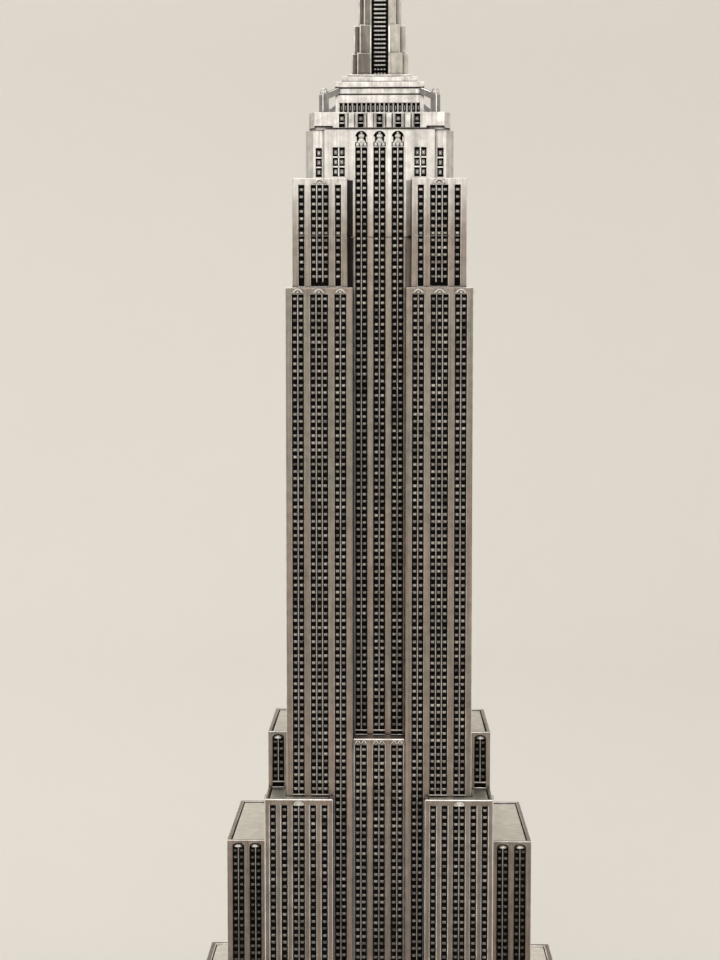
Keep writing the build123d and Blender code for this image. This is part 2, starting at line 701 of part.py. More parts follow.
for sx, sy in CORNERS:
    with BuildPart() as shoulder_roof:
        x1 = sx * (shoulder_x - shoulder_w + parapet + roof_gap)
        x2 = sx * (shoulder_x - parapet - roof_gap)
        y1 = sy * (shoulder_y - shoulder_d + parapet + roof_gap)
        y2 = sy * (shoulder_y - parapet - roof_gap)
        with BuildSketch(Plane.XY.offset(shoulder_seat_z)):
            with Locations(((x1 + x2) / 2, (y1 + y2) / 2)):
                Rectangle(abs(x2 - x1), abs(y2 - y1))
            flank_y = core_y - crown_set + roof_gap
            Rectangle(2 * (core_x + roof_gap), 2 * flank_y, mode=Mode.SUBTRACT)
            Rectangle(crown_panel_w + 2 * roof_gap, 2 * (core_y + roof_gap), mode=Mode.SUBTRACT)
        extrude(amount=roof_t)
    save(f"shoulder_roof_{FACE_NAME[sy]}_{SIDE_NAME[sx]}", shoulder_roof)

# ---- tie rod, nuts and washers ------------------------------------------------
nut_levels = (felt_t + plate_t + washer_t, diaphragm_z + diaphragm_t + washer_t)

with BuildPart() as tie_rod:
    rod_foot = felt_t + rod_inset
    with BuildSketch(Plane.XY.offset(rod_foot)):
        Circle(rod_r)
    extrude(amount=nut_levels[1] + nut_h + rod_proud - rod_foot)
    chamfer(tie_rod.edges().filter_by(GeomType.CIRCLE), length=rod_chamfer)
save("tie_rod", tie_rod)

with BuildPart() as tie_nuts:
    for z in nut_levels:
        with BuildSketch(Plane.XY.offset(z)):
            RegularPolygon(nut_r, 6)
            Circle(rod_r + bore_gap, mode=Mode.SUBTRACT)
        extrude(amount=nut_h)
save("tie_nuts", tie_nuts)

with BuildPart() as tie_washers:
    for z in nut_levels:
        with BuildSketch(Plane.XY.offset(z - washer_t)):
            Circle(washer_r)
            Circle(rod_r + bore_gap, mode=Mode.SUBTRACT)
        extrude(amount=washer_t)
save("tie_washers", tie_washers)

# ---- observation deck, lantern and stepped cap --------------------------------
with BuildPart() as deck_cornice:
    shadow_top = crown_top + shadow_h
    for inset, low, high in ((shadow_in, crown_top, shadow_top), (0, shadow_top, deck_top)):
        with BuildSketch(Plane.XY.offset(low)) as outline:
            Rectangle(deck_w - 2 * inset, deck_d - 2 * inset)
            chamfer(outline.vertices(), length=deck_chamfer)
        extrude(amount=high - low)
    with BuildSketch(Plane.XY.offset(crown_top - spigot_h)):
        Rectangle(2 * (hollow_x - fit_gap), 2 * (hollow_y - fit_gap))
        Rectangle(2 * (hollow_x - wall), 2 * (hollow_y - wall), mode=Mode.SUBTRACT)
    extrude(amount=spigot_h)
    cove_x = deck_slots * deck_slot_pitch / 2
    for sx, sy in CORNERS:
        across = (sx * cove_x, sx * (deck_w / 2 - deck_chamfer))
        back = (sy * (deck_d / 2 - cove_deep), sy * deck_d / 2)
        block(*across, *back, crown_top, crown_top + cove_h, Mode.SUBTRACT)
    slots = [((i - (deck_slots - 1) / 2) * deck_slot_pitch, column_w) for i in range(deck_slots)]
    low = crown_top + deck_slot_low
    for sign in SIDES:
        cut_strips(face_plane("y", sign, deck_d / 2), 0, slots, low, low + deck_slot_h)
        cut_strips(face_plane("x", sign, deck_w / 2), 0, slots, low, low + deck_slot_h)
    socket(plug_r, deck_top, plug_h + fit_gap)
save("deck_cornice", deck_cornice)

with BuildPart() as lantern:
    block(-lantern_half, lantern_half, -lantern_half, lantern_half, deck_top, lantern_top)
    middle = (lantern_slots - 1) / 2
    slots = [((i - middle) * lantern_slot_pitch, lantern_slot_w) for i in range(lantern_slots)]
    low = deck_top + lantern_slot_z
    for axis in ("x", "y"):
        for sign in SIDES:
            cut_strips(face_plane(axis, sign, lantern_half), 0, slots, low, low + lantern_slot_h)
    with Locations((0, 0, deck_top - plug_h / 2)):
        Cylinder(plug_r, plug_h)
    socket(plug_r, lantern_top, plug_h + fit_gap)
save("lantern", lantern)

with BuildPart() as stepped_cap:
    z = lantern_top
    for height, half in cap_steps:
        inner = half - shadow_in
        block(-inner, inner, -inner, inner, z, z + shadow_h)
        block(-half, half, -half, half, z + shadow_h, z + height)
        z += height
    with Locations((0, 0, lantern_top - plug_h / 2)):
        Cylinder(plug_r, plug_h)
    socket(tenon_r, cap_top, tenon_l + fit_gap)
save("stepped_cap", stepped_cap)

# ---- corner buttresses beside the lantern -------------------------------------
for sx, sy in CORNERS:
    corner_r = lantern_half * 2 ** 0.5
    buttress_out = corner_r + buttress_reach
    diagonal = Plane(origin=(0, 0, 0), x_dir=(sx, sy, 0), z_dir=(sy, -sx, 0))
    up = 1 if diagonal.y_dir.Z > 0 else -1
    with BuildPart() as buttress:
        with BuildSketch(diagonal):
            with BuildLine():
                post_top = deck_top + post_h
                Polyline(
                    (buttress_out - post_w, up * deck_top),
                    (buttress_out, up * deck_top),
                    (buttress_out, up * (post_top - post_chamfer)),
                    (buttress_out - post_chamfer, up * post_top),
                    (buttress_out - post_w, up * post_top),
                    (corner_r - arm_in, up * (lantern_top + arm_top)),
                    (corner_r - arm_in, up * (lantern_top + arm_top - arm_deep)),
                    (buttress_out - post_w, up * (post_top - arm_deep)),
                    close=True,
                )
            make_face()
        extrude(amount=buttress_t / 2, both=True)
        near = lantern_half + fit_gap
        block(-near, near, -near, near, deck_top, lantern_top, Mode.SUBTRACT)
        z = lantern_top
        for height, half in cap_steps[:2]:
            near = half + fit_gap
            block(-near, near, -near, near, z, z + height, Mode.SUBTRACT)
            z += height
    save(f"buttress_{FACE_NAME[sy]}_{SIDE_NAME[sx]}", buttress)

# ---- mast: cross-shaped core with a stepped wing in each corner ----------------
with BuildPart() as mast_core:
    with BuildSketch(Plane.XY.offset(cap_top)):
        Rectangle(2 * core_half, 2 * core_reach)
        Rectangle(2 * core_reach, 2 * core_half)
    extrude(amount=mast_top - cap_top)
    with Locations((0, 0, cap_top - tenon_l / 2)):
        Cylinder(tenon_r, tenon_l)
    socket(tenon_r, mast_top, tenon_l + fit_gap)
save("mast_core", mast_core)

for sx, sy in CORNERS:
    with BuildPart() as mast_wing:
        z = cap_top
        near = core_half + fit_gap
        for height, slab, outer in wing_steps:
            block(sx * near, sx * slab, sy * near, sy * outer, z, z + height)
            block(sx * near, sx * outer, sy * near, sy * slab, z, z + height)
            z += height
    save(f"mast_wing_{FACE_NAME[sy]}_{SIDE_NAME[sx]}", mast_wing)

with BuildPart() as mast_collar:
    with BuildSketch(Plane.XZ):
        with BuildLine():
            Polyline(
                (0, mast_top),
                (collar_r, mast_top),
                (collar_r, mast_top + collar_h * 0.4),
                (collar_r - collar_step, mast_top + collar_h * 0.55),
                (collar_r - collar_step, collar_top),
                (0, collar_top),
                close=True,
            )
        make_face()
    revolve(axis=Axis.Z)
    with Locations((0, 0, mast_top - tenon_l / 2)):
        Cylinder(tenon_r, tenon_l)
    socket(tenon_r, collar_top, tenon_l + fit_gap)
save("mast_collar", mast_collar)

with BuildPart() as mast_drum:
    with BuildSketch(Plane.XY.offset(collar_top)):
        Circle(drum_r)
    extrude(amount=drum_h)
    with Locations((0, 0, collar_top + drum_h / 2)):
        with PolarLocations(drum_r, drum_windows):
            Box(2 * strip_deep, drum_window_w, drum_h * 0.6, mode=Mode.SUBTRACT)
    with Locations((0, 0, collar_top - tenon_l / 2)):
        Cylinder(tenon_r, tenon_l)
    socket(tenon_r, drum_top, tenon_l + fit_gap)
save("mast_drum", mast_drum)

with BuildPart() as mast_dome:
    rim = drum_r + dome_rim
    start = (rim - dome_step, drum_top + dome_rim_h + dome_step_h)
    finish = (socket_r + socket_ring, dome_top)
    with BuildSketch(Plane.XZ):
        with BuildLine():
            Polyline(
                (0, dome_top),
                (0, drum_top),
                (rim, drum_top),
                (rim, drum_top + dome_rim_h),
                (rim - dome_step, drum_top + dome_rim_h),
                start,
            )
            TangentArc(start, finish, tangent=(0, 1))
            Line(finish, (0, dome_top))
        make_face()
    revolve(axis=Axis.Z)
    with Locations((0, 0, drum_top - tenon_l / 2)):
        Cylinder(tenon_r, tenon_l)
    socket(tenon_r, dome_top, tenon_l + fit_gap)
save("mast_dome", mast_dome)

with BuildPart() as antenna_socket:
    with BuildSketch(Plane.XY.offset(dome_top)):
        Circle(socket_r)
    extrude(amount=socket_h)
    for share in (0, 0.5, 1):
        with Locations((0, 0, dome_top + socket_ring_h / 2 + share * (socket_h - socket_ring_h))):
            Cylinder(socket_r + socket_ring, socket_ring_h)
    with Locations((0, 0, dome_top - tenon_l / 2)):
        Cylinder(tenon_r, tenon_l)
    socket(antenna_r, socket_top, tenon_l + fit_gap)
save("antenna_socket", antenna_socket)

with BuildPart() as antenna:
    antenna_top = socket_top + antenna_h
    lower = antenna_h * 0.45
    with BuildSketch(Plane.XZ):
        with BuildLine():
            Polyline(
                (0, socket_top - tenon_l),
                (antenna_r, socket_top - tenon_l),
                (antenna_r, socket_top + lower),
                (antenna_r * 0.7, socket_top + lower + antenna_r),
                (antenna_tip_r, antenna_top - 2 * antenna_tip_r),
                (0, antenna_top),
                close=True,
            )
        make_face()
    revolve(axis=Axis.Z)
    for share in (0.3, 0.6, 0.9):
        with Locations((0, 0, socket_top + lower * share)):
            Cylinder(antenna_r + antenna_ring, antenna_ring_h)
save("antenna", antenna)
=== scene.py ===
# %% [markdown]
# # A desk-size cast replica of a stepped skyscraper
# The object is a souvenir tower cast in pewter-coloured metal, blackened all over and
# then rubbed back, so that the walls shine and the windows stay dark. The CAD frame
# already holds every casting at its real size. Here each casting gets rounded, rubbed
# edges, its window relief and ornaments, and an antique finish.

# %% Load the frame
import math

import bmesh
import bpy
from mathutils import Matrix, Vector


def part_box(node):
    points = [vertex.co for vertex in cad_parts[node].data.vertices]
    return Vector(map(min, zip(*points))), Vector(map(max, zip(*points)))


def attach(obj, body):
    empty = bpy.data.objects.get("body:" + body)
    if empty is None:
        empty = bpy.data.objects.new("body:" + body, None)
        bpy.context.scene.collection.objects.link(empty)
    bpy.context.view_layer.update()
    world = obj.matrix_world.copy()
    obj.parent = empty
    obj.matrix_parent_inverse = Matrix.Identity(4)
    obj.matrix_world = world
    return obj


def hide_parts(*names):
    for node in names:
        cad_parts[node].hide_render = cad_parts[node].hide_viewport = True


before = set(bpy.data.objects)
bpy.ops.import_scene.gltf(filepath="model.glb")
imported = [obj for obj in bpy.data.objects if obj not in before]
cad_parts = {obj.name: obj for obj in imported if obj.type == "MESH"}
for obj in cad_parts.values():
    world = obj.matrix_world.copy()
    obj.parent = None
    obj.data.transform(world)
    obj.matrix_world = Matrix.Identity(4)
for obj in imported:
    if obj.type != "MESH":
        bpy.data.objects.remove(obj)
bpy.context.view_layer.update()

MM = 0.001
scene = bpy.context.scene
print("castings:", len(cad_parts))

# %% [markdown]
# ## Camera
# A souvenir this tall is usually seen from about the height of its shoulders and from
# close by, so the roofs of the low blocks show a little and the mast runs out of the
# picture. The lens is a little long, which keeps the walls nearly parallel.

# %% Camera
CAMERA_PLACE = Vector((2.42, -428.0, 207.2)) * MM
LOOK_DOWN = 3.61    # degrees below level
LOOK_LEFT = 1.05    # degrees
lens = bpy.data.cameras.new("camera")
lens.lens = 58.24
lens.sensor_width = 36
lens.clip_start = 0.01
lens.clip_end = 20
camera = bpy.data.objects.new("camera", lens)
scene.collection.objects.link(camera)
camera.location = CAMERA_PLACE
camera.rotation_euler = (math.radians(90 - LOOK_DOWN), 0, math.radians(LOOK_LEFT))
scene.camera = camera
print("camera stands", round(-camera.location.y / MM), "mm in front of the tower's centre line")

# %% [markdown]
# ## Stage
# A plain pale floor that curves up into the wall all round, like a photographer's paper
# sweep. One profile spun about the tower's centre line gives the same soft ground from
# every side, and polished metal reflects it without a hard horizon.

# %% Stage
def paint(name, colour, roughness):
    """A plain matt paint with a little cloudiness, so that it isn't perfectly even."""
    material = bpy.data.materials.new(name)
    material.use_nodes = True
    nodes, links = material.node_tree.nodes, material.node_tree.links
    shader = nodes["Principled BSDF"]
    shader.inputs["Roughness"].default_value = roughness
    place = nodes.new("ShaderNodeTexCoord")
    cloud = nodes.new("ShaderNodeTexNoise")
    cloud.inputs["Scale"].default_value = 1.3
    blend = nodes.new("ShaderNodeMix")
    blend.data_type = "RGBA"
    blend.inputs["A"].default_value = (*colour, 1)
    blend.inputs["B"].default_value = (*[c * 0.94 for c in colour], 1)
    links.new(place.outputs["Object"], cloud.inputs["Vector"])
    links.new(cloud.outputs["Fac"], blend.inputs["Factor"])
    links.new(blend.outputs["Result"], shader.inputs["Base Color"])
    return material


SWEEP_FLAT = 0.7      # radius of the flat floor, metres
SWEEP_BEND = 0.55     # radius of the bend between floor and wall
SWEEP_TOP = 2.0

sweep = bmesh.new()
rim = [sweep.verts.new((0.0, 0.0, 0.0)), sweep.verts.new((SWEEP_FLAT, 0.0, 0.0))]
sweep.edges.new(rim)
bend = bmesh.ops.spin(sweep, geom=[rim[1]], cent=(SWEEP_FLAT, 0, SWEEP_BEND), axis=(0, -1, 0),
                      angle=math.radians(90), steps=16)
last = [v for v in bend["geom_last"] if isinstance(v, bmesh.types.BMVert)]
wall = bmesh.ops.extrude_vert_indiv(sweep, verts=last)
bmesh.ops.translate(sweep, verts=wall["verts"], vec=(0, 0, SWEEP_TOP - SWEEP_BEND))
bmesh.ops.spin(sweep, geom=sweep.verts[:] + sweep.edges[:], cent=(0, 0, 0), axis=(0, 0, 1),
               angle=math.radians(360), steps=96, use_merge=True)
bmesh.ops.remove_doubles(sweep, verts=sweep.verts[:], dist=1e-6)
bmesh.ops.recalc_face_normals(sweep, faces=sweep.faces[:])
sweep_mesh = bpy.data.meshes.new("floor")
sweep.to_mesh(sweep_mesh)
sweep.free()
for face in sweep_mesh.polygons:
    face.use_smooth = True
floor = bpy.data.objects.new("floor", sweep_mesh)
scene.collection.objects.link(floor)
floor.data.materials.append(paint("pale_sweep", (0.775, 0.762, 0.738), 0.9))
print("sweep reaches out to", SWEEP_FLAT + SWEEP_BEND, "m")

# %% [markdown]
# ## Light
# Soft studio light: a large panel overhead for the roofs and ledges, a panel high in
# front that the mast and crown mirror, a weaker panel on each side for the edges, and one
# that brightens the wall behind. Metal shows what it mirrors, so the panels' places matter
# more than their strength.

# %% Lights
def softbox(name, place, aim, width, height, watts, colour):
    """An area light at a place, turned towards a point."""
    light = bpy.data.lights.new(name, "AREA")
    light.shape = "RECTANGLE"
    light.size = width
    light.size_y = height
    light.energy = watts
    light.color = colour
    lamp = bpy.data.objects.new(name, light)
    scene.collection.objects.link(lamp)
    lamp.location = place
    lamp.rotation_euler = (Vector(aim) - Vector(place)).to_track_quat("-Z", "Y").to_euler()
    return lamp


WARM = (1.0, 0.965, 0.915)
softbox("overhead_panel", (0, 0.1, 1.85), (0, 0.1, 0), 1.7, 1.7, 12, WARM)
softbox("front_panel", (-0.1, -1.12, 0.64), (0, 0, 0.32), 1.1, 0.5, 2.6, WARM)
softbox("right_panel", (1.0, -0.45, 0.5), (0, 0, 0.22), 0.45, 0.7, 1.5, WARM)
softbox("left_panel", (-1.0, -0.45, 0.58), (0, 0, 0.28), 0.4, 0.5, 1.2, WARM)
softbox("backdrop_panel", (-0.6, 0.3, 1.5), (-0.6, 1.1, 0.4), 0.9, 0.5, 4.2, WARM)
world = bpy.data.worlds.new("studio")
scene.world = world
world.use_nodes = True
world.node_tree.nodes["Background"].inputs["Color"].default_value = (0.9, 0.86, 0.8, 1)
world.node_tree.nodes["Background"].inputs["Strength"].default_value = 0.23
scene.view_settings.view_transform = "Standard"
scene.view_settings.look = "None"

# %% [markdown]
# ## Antique metal finish
# The real castings are plated, dipped in a black patina and rubbed back with a cloth that
# moves up and down. What is left is warm grey with fine upright brushing, nearly black
# hollows and bright edges. The mesh says where: one face attribute marks the black hollows
# together with painted shade, another the rubbed edges together with a painted highlight,
# and noise on Object coordinates breaks both up.

# %% Finish helpers
def number(nodes, links, operation, a, b):
    """A Math node on two sockets or numbers."""
    node = nodes.new("ShaderNodeMath")
    node.operation = operation
    for socket, value in zip(node.inputs, (a, b)):
        if isinstance(value, (int, float)):
            socket.default_value = value
        else:
            links.new(value, socket)
    return node.outputs[0]


def rise(nodes, links, value, start, stop, low, high, smooth=False):
    """low below start, high above stop, and a straight or soft change between."""
    node = nodes.new("ShaderNodeMapRange")
    node.interpolation_type = "SMOOTHSTEP" if smooth else "LINEAR"
    node.inputs["From Min"].default_value = start
    node.inputs["From Max"].default_value = stop
    node.inputs["To Min"].default_value = low
    node.inputs["To Max"].default_value = high
    links.new(value, node.inputs["Value"])
    return node.outputs["Result"]


def spread(nodes, links, value, low, high):
    """Stretch a noise's useful middle range to low..high."""
    return rise(nodes, links, value, 0.3, 0.7, low, high)


def cloudy(nodes, links, vector, scale, detail=2.0, stretch=(1, 1, 1)):
    """Noise on a vector, finer along one axis than another where stretch says so."""
    mapping = nodes.new("ShaderNodeMapping")
    mapping.inputs["Scale"].default_value = stretch
    noise = nodes.new("ShaderNodeTexNoise")
    noise.inputs["Scale"].default_value = scale
    noise.inputs["Detail"].default_value = detail
    links.new(vector, mapping.inputs["Vector"])
    links.new(mapping.outputs["Vector"], noise.inputs["Vector"])
    return noise.outputs["Fac"]


def tint(nodes, links, amount, a, b):
    """Mix two colours, each a socket or a fixed colour."""
    node = nodes.new("ShaderNodeMix")
    node.data_type = "RGBA"
    for socket, value in ((node.inputs["A"], a), (node.inputs["B"], b)):
        if isinstance(value, tuple):
            socket.default_value = (*value, 1)
        else:
            links.new(value, socket)
    if isinstance(amount, (int, float)):
        node.inputs["Factor"].default_value = amount
    else:
        links.new(amount, node.inputs["Factor"])
    return node.outputs["Result"]


def mark(nodes, name):
    """A face attribute of the piece as a number."""
    node = nodes.new("ShaderNodeAttribute")
    node.attribute_name = name
    return node.outputs["Fac"]


print("finish helpers ready")

# %% [markdown]
# ## One recipe for every rubbed casting
# Each metal of the tower is the same recipe with other numbers: two body tones in clouds,
# brush lines drawn out by stretching a noise along the wall, a colour for rubbed edges that
# also paints a highlight on them, and black for hollows. An Ambient Occlusion node darkens
# the nooks within a millimetre, partly as the patina a cloth can't reach and partly as
# painted shade, so ledges and pads get their dark outline. Above a set height the walls are
# painted toward the bright colour, a painted reflection of the light above, and the foot is
# painted darker, a painted shade.

# %% Antique metal
BLACK = (0.006, 0.005, 0.0045)
# Above these heights the walls are painted toward the bright colour: a painted reflection of the
# light above.
HIGHLIGHT_LOW, HIGHLIGHT_HIGH = 0.243, 0.263    # the walls turn bright between these heights, metres
# Below these heights the walls are painted darker: a painted shade.
FOOT_SHADE_LOW, FOOT_SHADE_HIGH = 0.045, 0.105        # and dull below these
BRUSH_DEEP = 0.03 * MM
OPEN, CLOSED = 0.88, 0.42                 # how open to its surroundings a nook is


def antique_metal(name, warm, cool, bright, roughness, brush=(1, 1, 0.012), streak=0.45,
                  top_highlight=0.85, cloud=26, foot=0.72, left_shade_lean=0, mottle=0.25, nook_size=1.0):
    """Rubbed metal: two body tones in clouds, brushing, bright wear with a painted highlight, and
    black patina with painted shade.

    brush stretches the brush lines, streak and mottle say how dark lines and blotches get,
    the top highlight how far the top is painted toward the bright colour as a painted
    reflection, foot how dark the bottom is painted as painted shade, cloud the clouds' scale,
    and the left shade lean how far the cool tone moves to the right, which paints one side
    darker as painted shade.
    """
    material = bpy.data.materials.new(name)
    material.use_nodes = True
    nodes, links = material.node_tree.nodes, material.node_tree.links
    shader = nodes["Principled BSDF"]
    shader.inputs["Specular IOR Level"].default_value = 0.04
    place = nodes.new("ShaderNodeTexCoord").outputs["Object"]
    clouds = cloudy(nodes, links, place, cloud, 3)
    blotch = cloudy(nodes, links, place, 420, 2)
    broad = cloudy(nodes, links, place, 1100, 2, brush)
    fine = cloudy(nodes, links, place, 5200, 2, brush)
    brushed = number(nodes, links, "ADD", number(nodes, links, "MULTIPLY", broad, 0.5),
                     number(nodes, links, "MULTIPLY", fine, 0.5))
    axes = nodes.new("ShaderNodeSeparateXYZ")
    links.new(place, axes.inputs["Vector"])
    # painted shade: the cool tone moves to the right, so one side is painted darker
    if left_shade_lean:
        lit_rightward = number(nodes, links, "MULTIPLY", axes.outputs["X"], left_shade_lean)
        clouds = number(nodes, links, "ADD", clouds, lit_rightward)
    body = tint(nodes, links, spread(nodes, links, clouds, 0, 1), warm, cool)
    # the top is painted toward the bright colour: a painted reflection of the light above
    top_highlit = rise(nodes, links, axes.outputs["Z"], HIGHLIGHT_LOW, HIGHLIGHT_HIGH, 0, top_highlight, True)
    body = tint(nodes, links, top_highlit, body, bright)
    shade = number(nodes, links, "MULTIPLY", spread(nodes, links, brushed, 1 - streak, 1.0),
                   spread(nodes, links, blotch, 1 - mottle, 1.0))
    # the bottom is painted darker: a painted shade
    shade = number(nodes, links, "MULTIPLY", shade,
                   rise(nodes, links, axes.outputs["Z"], FOOT_SHADE_LOW, FOOT_SHADE_HIGH, foot, 1.0, True))
    body = tint(nodes, links, shade, BLACK, body)
    # bevel faces are painted bright: rubbed wear and a painted highlight
    worn_and_highlit = number(nodes, links, "MULTIPLY", mark(nodes, "wear_and_highlight"),
                  spread(nodes, links, blotch, 0.6, 1.0))
    body = tint(nodes, links, worn_and_highlit, body, bright)
    # Ambient occlusion darkens the nooks within a millimetre: partly the patina a cloth can't
    # reach, partly painted shade.
    crevice = nodes.new("ShaderNodeAmbientOcclusion")
    crevice.samples = 4
    crevice.inputs["Distance"].default_value = nook_size * MM
    nook_patina_and_shade = rise(nodes, links, crevice.outputs["AO"], OPEN, CLOSED, 0, 1)
    nook_patina_and_shade = number(nodes, links, "MULTIPLY", nook_patina_and_shade, spread(nodes, links, blotch, 1.0, 0.75))
    patina_and_shade = number(nodes, links, "MAXIMUM", mark(nodes, "patina_and_shade"), nook_patina_and_shade)
    body = tint(nodes, links, patina_and_shade, body, BLACK)
    links.new(body, shader.inputs["Base Color"])
    # the black patina and the painted shade are no metal
    metal = number(nodes, links, "SUBTRACT", 1.0, number(nodes, links, "MULTIPLY", patina_and_shade, 0.9))
    links.new(metal, shader.inputs["Metallic"])    # soot is no metal
    rough = number(nodes, links, "ADD",
                   spread(nodes, links, brushed, roughness + 0.08, roughness - 0.06),
                   number(nodes, links, "MULTIPLY", patina_and_shade, 0.3))
    rough = number(nodes, links, "SUBTRACT", rough, number(nodes, links, "MULTIPLY", worn_and_highlit, 0.12))
    links.new(rough, shader.inputs["Roughness"])
    bump = nodes.new("ShaderNodeBump")
    bump.inputs["Strength"].default_value = 0.35
    bump.inputs["Distance"].default_value = BRUSH_DEEP
    links.new(brushed, bump.inputs["Height"])
    links.new(bump.outputs["Normal"], shader.inputs["Normal"])
    return material


print("the walls turn bright between", HIGHLIGHT_LOW, "and", HIGHLIGHT_HIGH, "m")

# %% [markdown]
# ## The tower's metals
# The walls lie between a warm and a cool grey, the crown is nearly white, and the mast is
# painted darker on its left, a painted shade. The window pads vary from floor to floor:
# some were touched by the cloth and some weren't, so their clouds are small and strong.

# %% The tower's metals
GLINT = (0.97, 0.955, 0.94)
EVEN = (1, 1, 1)
wall_metal = antique_metal("rubbed_wall", (0.52, 0.40, 0.345), (0.39, 0.37, 0.325), GLINT, 0.34)
crown_metal = antique_metal("rubbed_crown", (0.86, 0.82, 0.79), (0.68, 0.64, 0.61), GLINT, 0.34,
                            streak=0.4, top_highlight=0.7, mottle=0.42)
relief_metal = antique_metal("rubbed_relief", (0.88, 0.83, 0.78), (0.17, 0.15, 0.14), GLINT, 0.38,
                             brush=EVEN, streak=0.3, cloud=330, top_highlight=0.35, foot=0.55)
mullion_metal = antique_metal("rubbed_mullion", (0.90, 0.86, 0.82), (0.50, 0.46, 0.42), GLINT, 0.3,
                              brush=(1, 1, 0.1), streak=0.2, cloud=200)
sooted_metal = antique_metal("sooted_relief", (0.40, 0.37, 0.34), (0.09, 0.08, 0.075), GLINT, 0.42,
                             brush=EVEN, streak=0.3, cloud=330, top_highlight=0)
ornament_metal = antique_metal("rubbed_ornament", (0.96, 0.94, 0.91), (0.80, 0.76, 0.71), GLINT,
                               0.3, brush=EVEN, streak=0.25, cloud=500, mottle=0.15,
                               nook_size=0.4)
# The mast's cool tone is the lighter one, so its left side is painted darker: a painted shade.
mast_metal = antique_metal("satin_mast", (0.155, 0.142, 0.128), (0.41, 0.393, 0.352), GLINT, 0.28,
                           brush=(1, 1, 0.05), streak=0.2, cloud=60, top_highlight=0, left_shade_lean=70)
roof_metal = antique_metal("satin_roof", (0.92, 0.905, 0.83), (0.76, 0.75, 0.69),
                           (0.9, 0.88, 0.85), 0.42, brush=(0.15, 1, 1), streak=0.15, foot=1,
                           mottle=0.15)
families = ("rubbed", "satin", "sooted")
print("metals:", sorted(m.name for m in bpy.data.materials if m.name.startswith(families)))

# %% [markdown]
# ## Sunk window strips
# The castings already have their window strips sunk into every wall. A strip is a wall face
# whose two upright sides rise the same depth in front of it, so they can be found and
# measured on the mesh itself. The relief then always lands inside its strip, which typed-in
# places couldn't promise if the CAD changed.

# %% Find the sunk strips
STRIP_DEEP = 0.45 * MM
COLUMN = 1.56 * MM        # width of one column of windows
SHORTEST = 1.2 * MM       # a shorter upright edge isn't a strip's side
NARROWEST = 0.4 * MM


def wall_axes(normal):
    """Along, up and out of an upright wall, right-handed."""
    out = Vector((round(normal.x), round(normal.y), 0))
    up = Vector((0, 0, 1))
    return up.cross(out), up, out


def sunk_strips(bm, node):
    """Every window strip sunk into this casting, with the faces that line it."""
    found = []
    for face in bm.faces:
        if abs(face.normal.z) > 0.01 or max(abs(face.normal.x), abs(face.normal.y)) < 0.999:
            continue
        along, _, out = wall_axes(face.normal)
        reach = face.calc_center_median().dot(out)
        sides = []
        for edge in face.edges:
            a, b = edge.verts[0].co, edge.verts[1].co
            if abs(a.z - b.z) < max(SHORTEST, 0.99 * edge.calc_length()):
                continue
            if len(edge.link_faces) != 2 or edge.calc_face_angle_signed() > -1:
                continue
            side = [f for f in edge.link_faces if f != face][0]
            deep = max(v.co.dot(out) for v in side.verts) - reach
            if abs(deep - STRIP_DEEP) < 0.02 * MM:
                sides.append((a.dot(along), min(a.z, b.z), max(a.z, b.z)))
        if len(sides) < 2:
            continue
        left, right = min(s[0] for s in sides), max(s[0] for s in sides)
        if right - left < NARROWEST:
            continue
        found.append({
            "node": node, "face": face, "out": (int(out.x), int(out.y)),
            "reach": reach + STRIP_DEEP, "centre": (left + right) / 2, "width": right - left,
            "low": min(s[1] for s in sides), "high": max(s[2] for s in sides),
            "top": max(v.co.z for v in face.verts),
        })
    return found


print("a strip is sunk", STRIP_DEEP / MM, "mm into its wall")

# %% [markdown]
# ## A casting as a clean mesh
# A CAD node arrives as loose triangles. Merging its corners and dissolving the flat edges
# of a copy gives back the casting's real faces, which can be measured, marked and bevelled,
# while the node itself stays as it is.

# %% Copies and pieces
def merged_copy(node):
    """The node's triangles as one closed mesh of flat faces."""
    bm = bmesh.new()
    bm.from_mesh(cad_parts[node].data)
    bmesh.ops.remove_doubles(bm, verts=bm.verts[:], dist=1e-6)
    bmesh.ops.dissolve_limit(bm, angle_limit=math.radians(1), verts=bm.verts[:],
                             edges=bm.edges[:], use_dissolve_boundaries=False)
    return bm


def finish_piece(name, bm, materials):
    """Turn a bmesh into a piece that rides on the tower."""
    mesh = bpy.data.meshes.new(name)
    bm.to_mesh(mesh)
    bm.free()
    for material in materials:
        mesh.materials.append(material)
    piece = bpy.data.objects.new(name, mesh)
    scene.collection.objects.link(piece)
    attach(piece, "root")
    return piece


sample = merged_copy("crown")
print("the crown has", len(sample.faces), "real faces")
sample.free()

# %% [markdown]
# ## Where the patina and the painted shade go
# The black patina is left on the floor and lining of a strip, where the cloth can't reach.
# Walls that look across the tower carry patina and painted shade, and the sides of the
# buttresses and the grooves of the cap and the deck get painted shade, as do patches beside
# the shoulders, a painted shadow. A patch is cut out of the wall with four planes, so that
# its edge is a real edge of the mesh and the mark can sit on whole faces.

# %% Soot marks
# Walls that look inward get patina and painted shade.
INNER_PATINA_AND_SHADE = 0.92         # walls that look inward
# The buttresses' flat sides get painted shade.
WEB_SHADE = 0.5            # the flat sides of the buttresses
LANTERN_SOOT = 0.45       # the wall between the lantern's slits
GROOVE = 0.35 * MM        # a lower face than this under a ledge is a groove
LANTERN_BAND = 10.75 * MM
LANTERN_LOW, LANTERN_HIGH = 278.4 * MM, 280.9 * MM
SHOULDER_LOW, SHOULDER_HIGH = 231.6 * MM, 259.9 * MM
# Painted shadow beside the shoulders: from x, to x and how dark, darker on the left.
SHADOW_BESIDE_SHOULDERS = ((-8.33 * MM, -6.95 * MM, 0.93), (6.95 * MM, 8.33 * MM, 0.4))


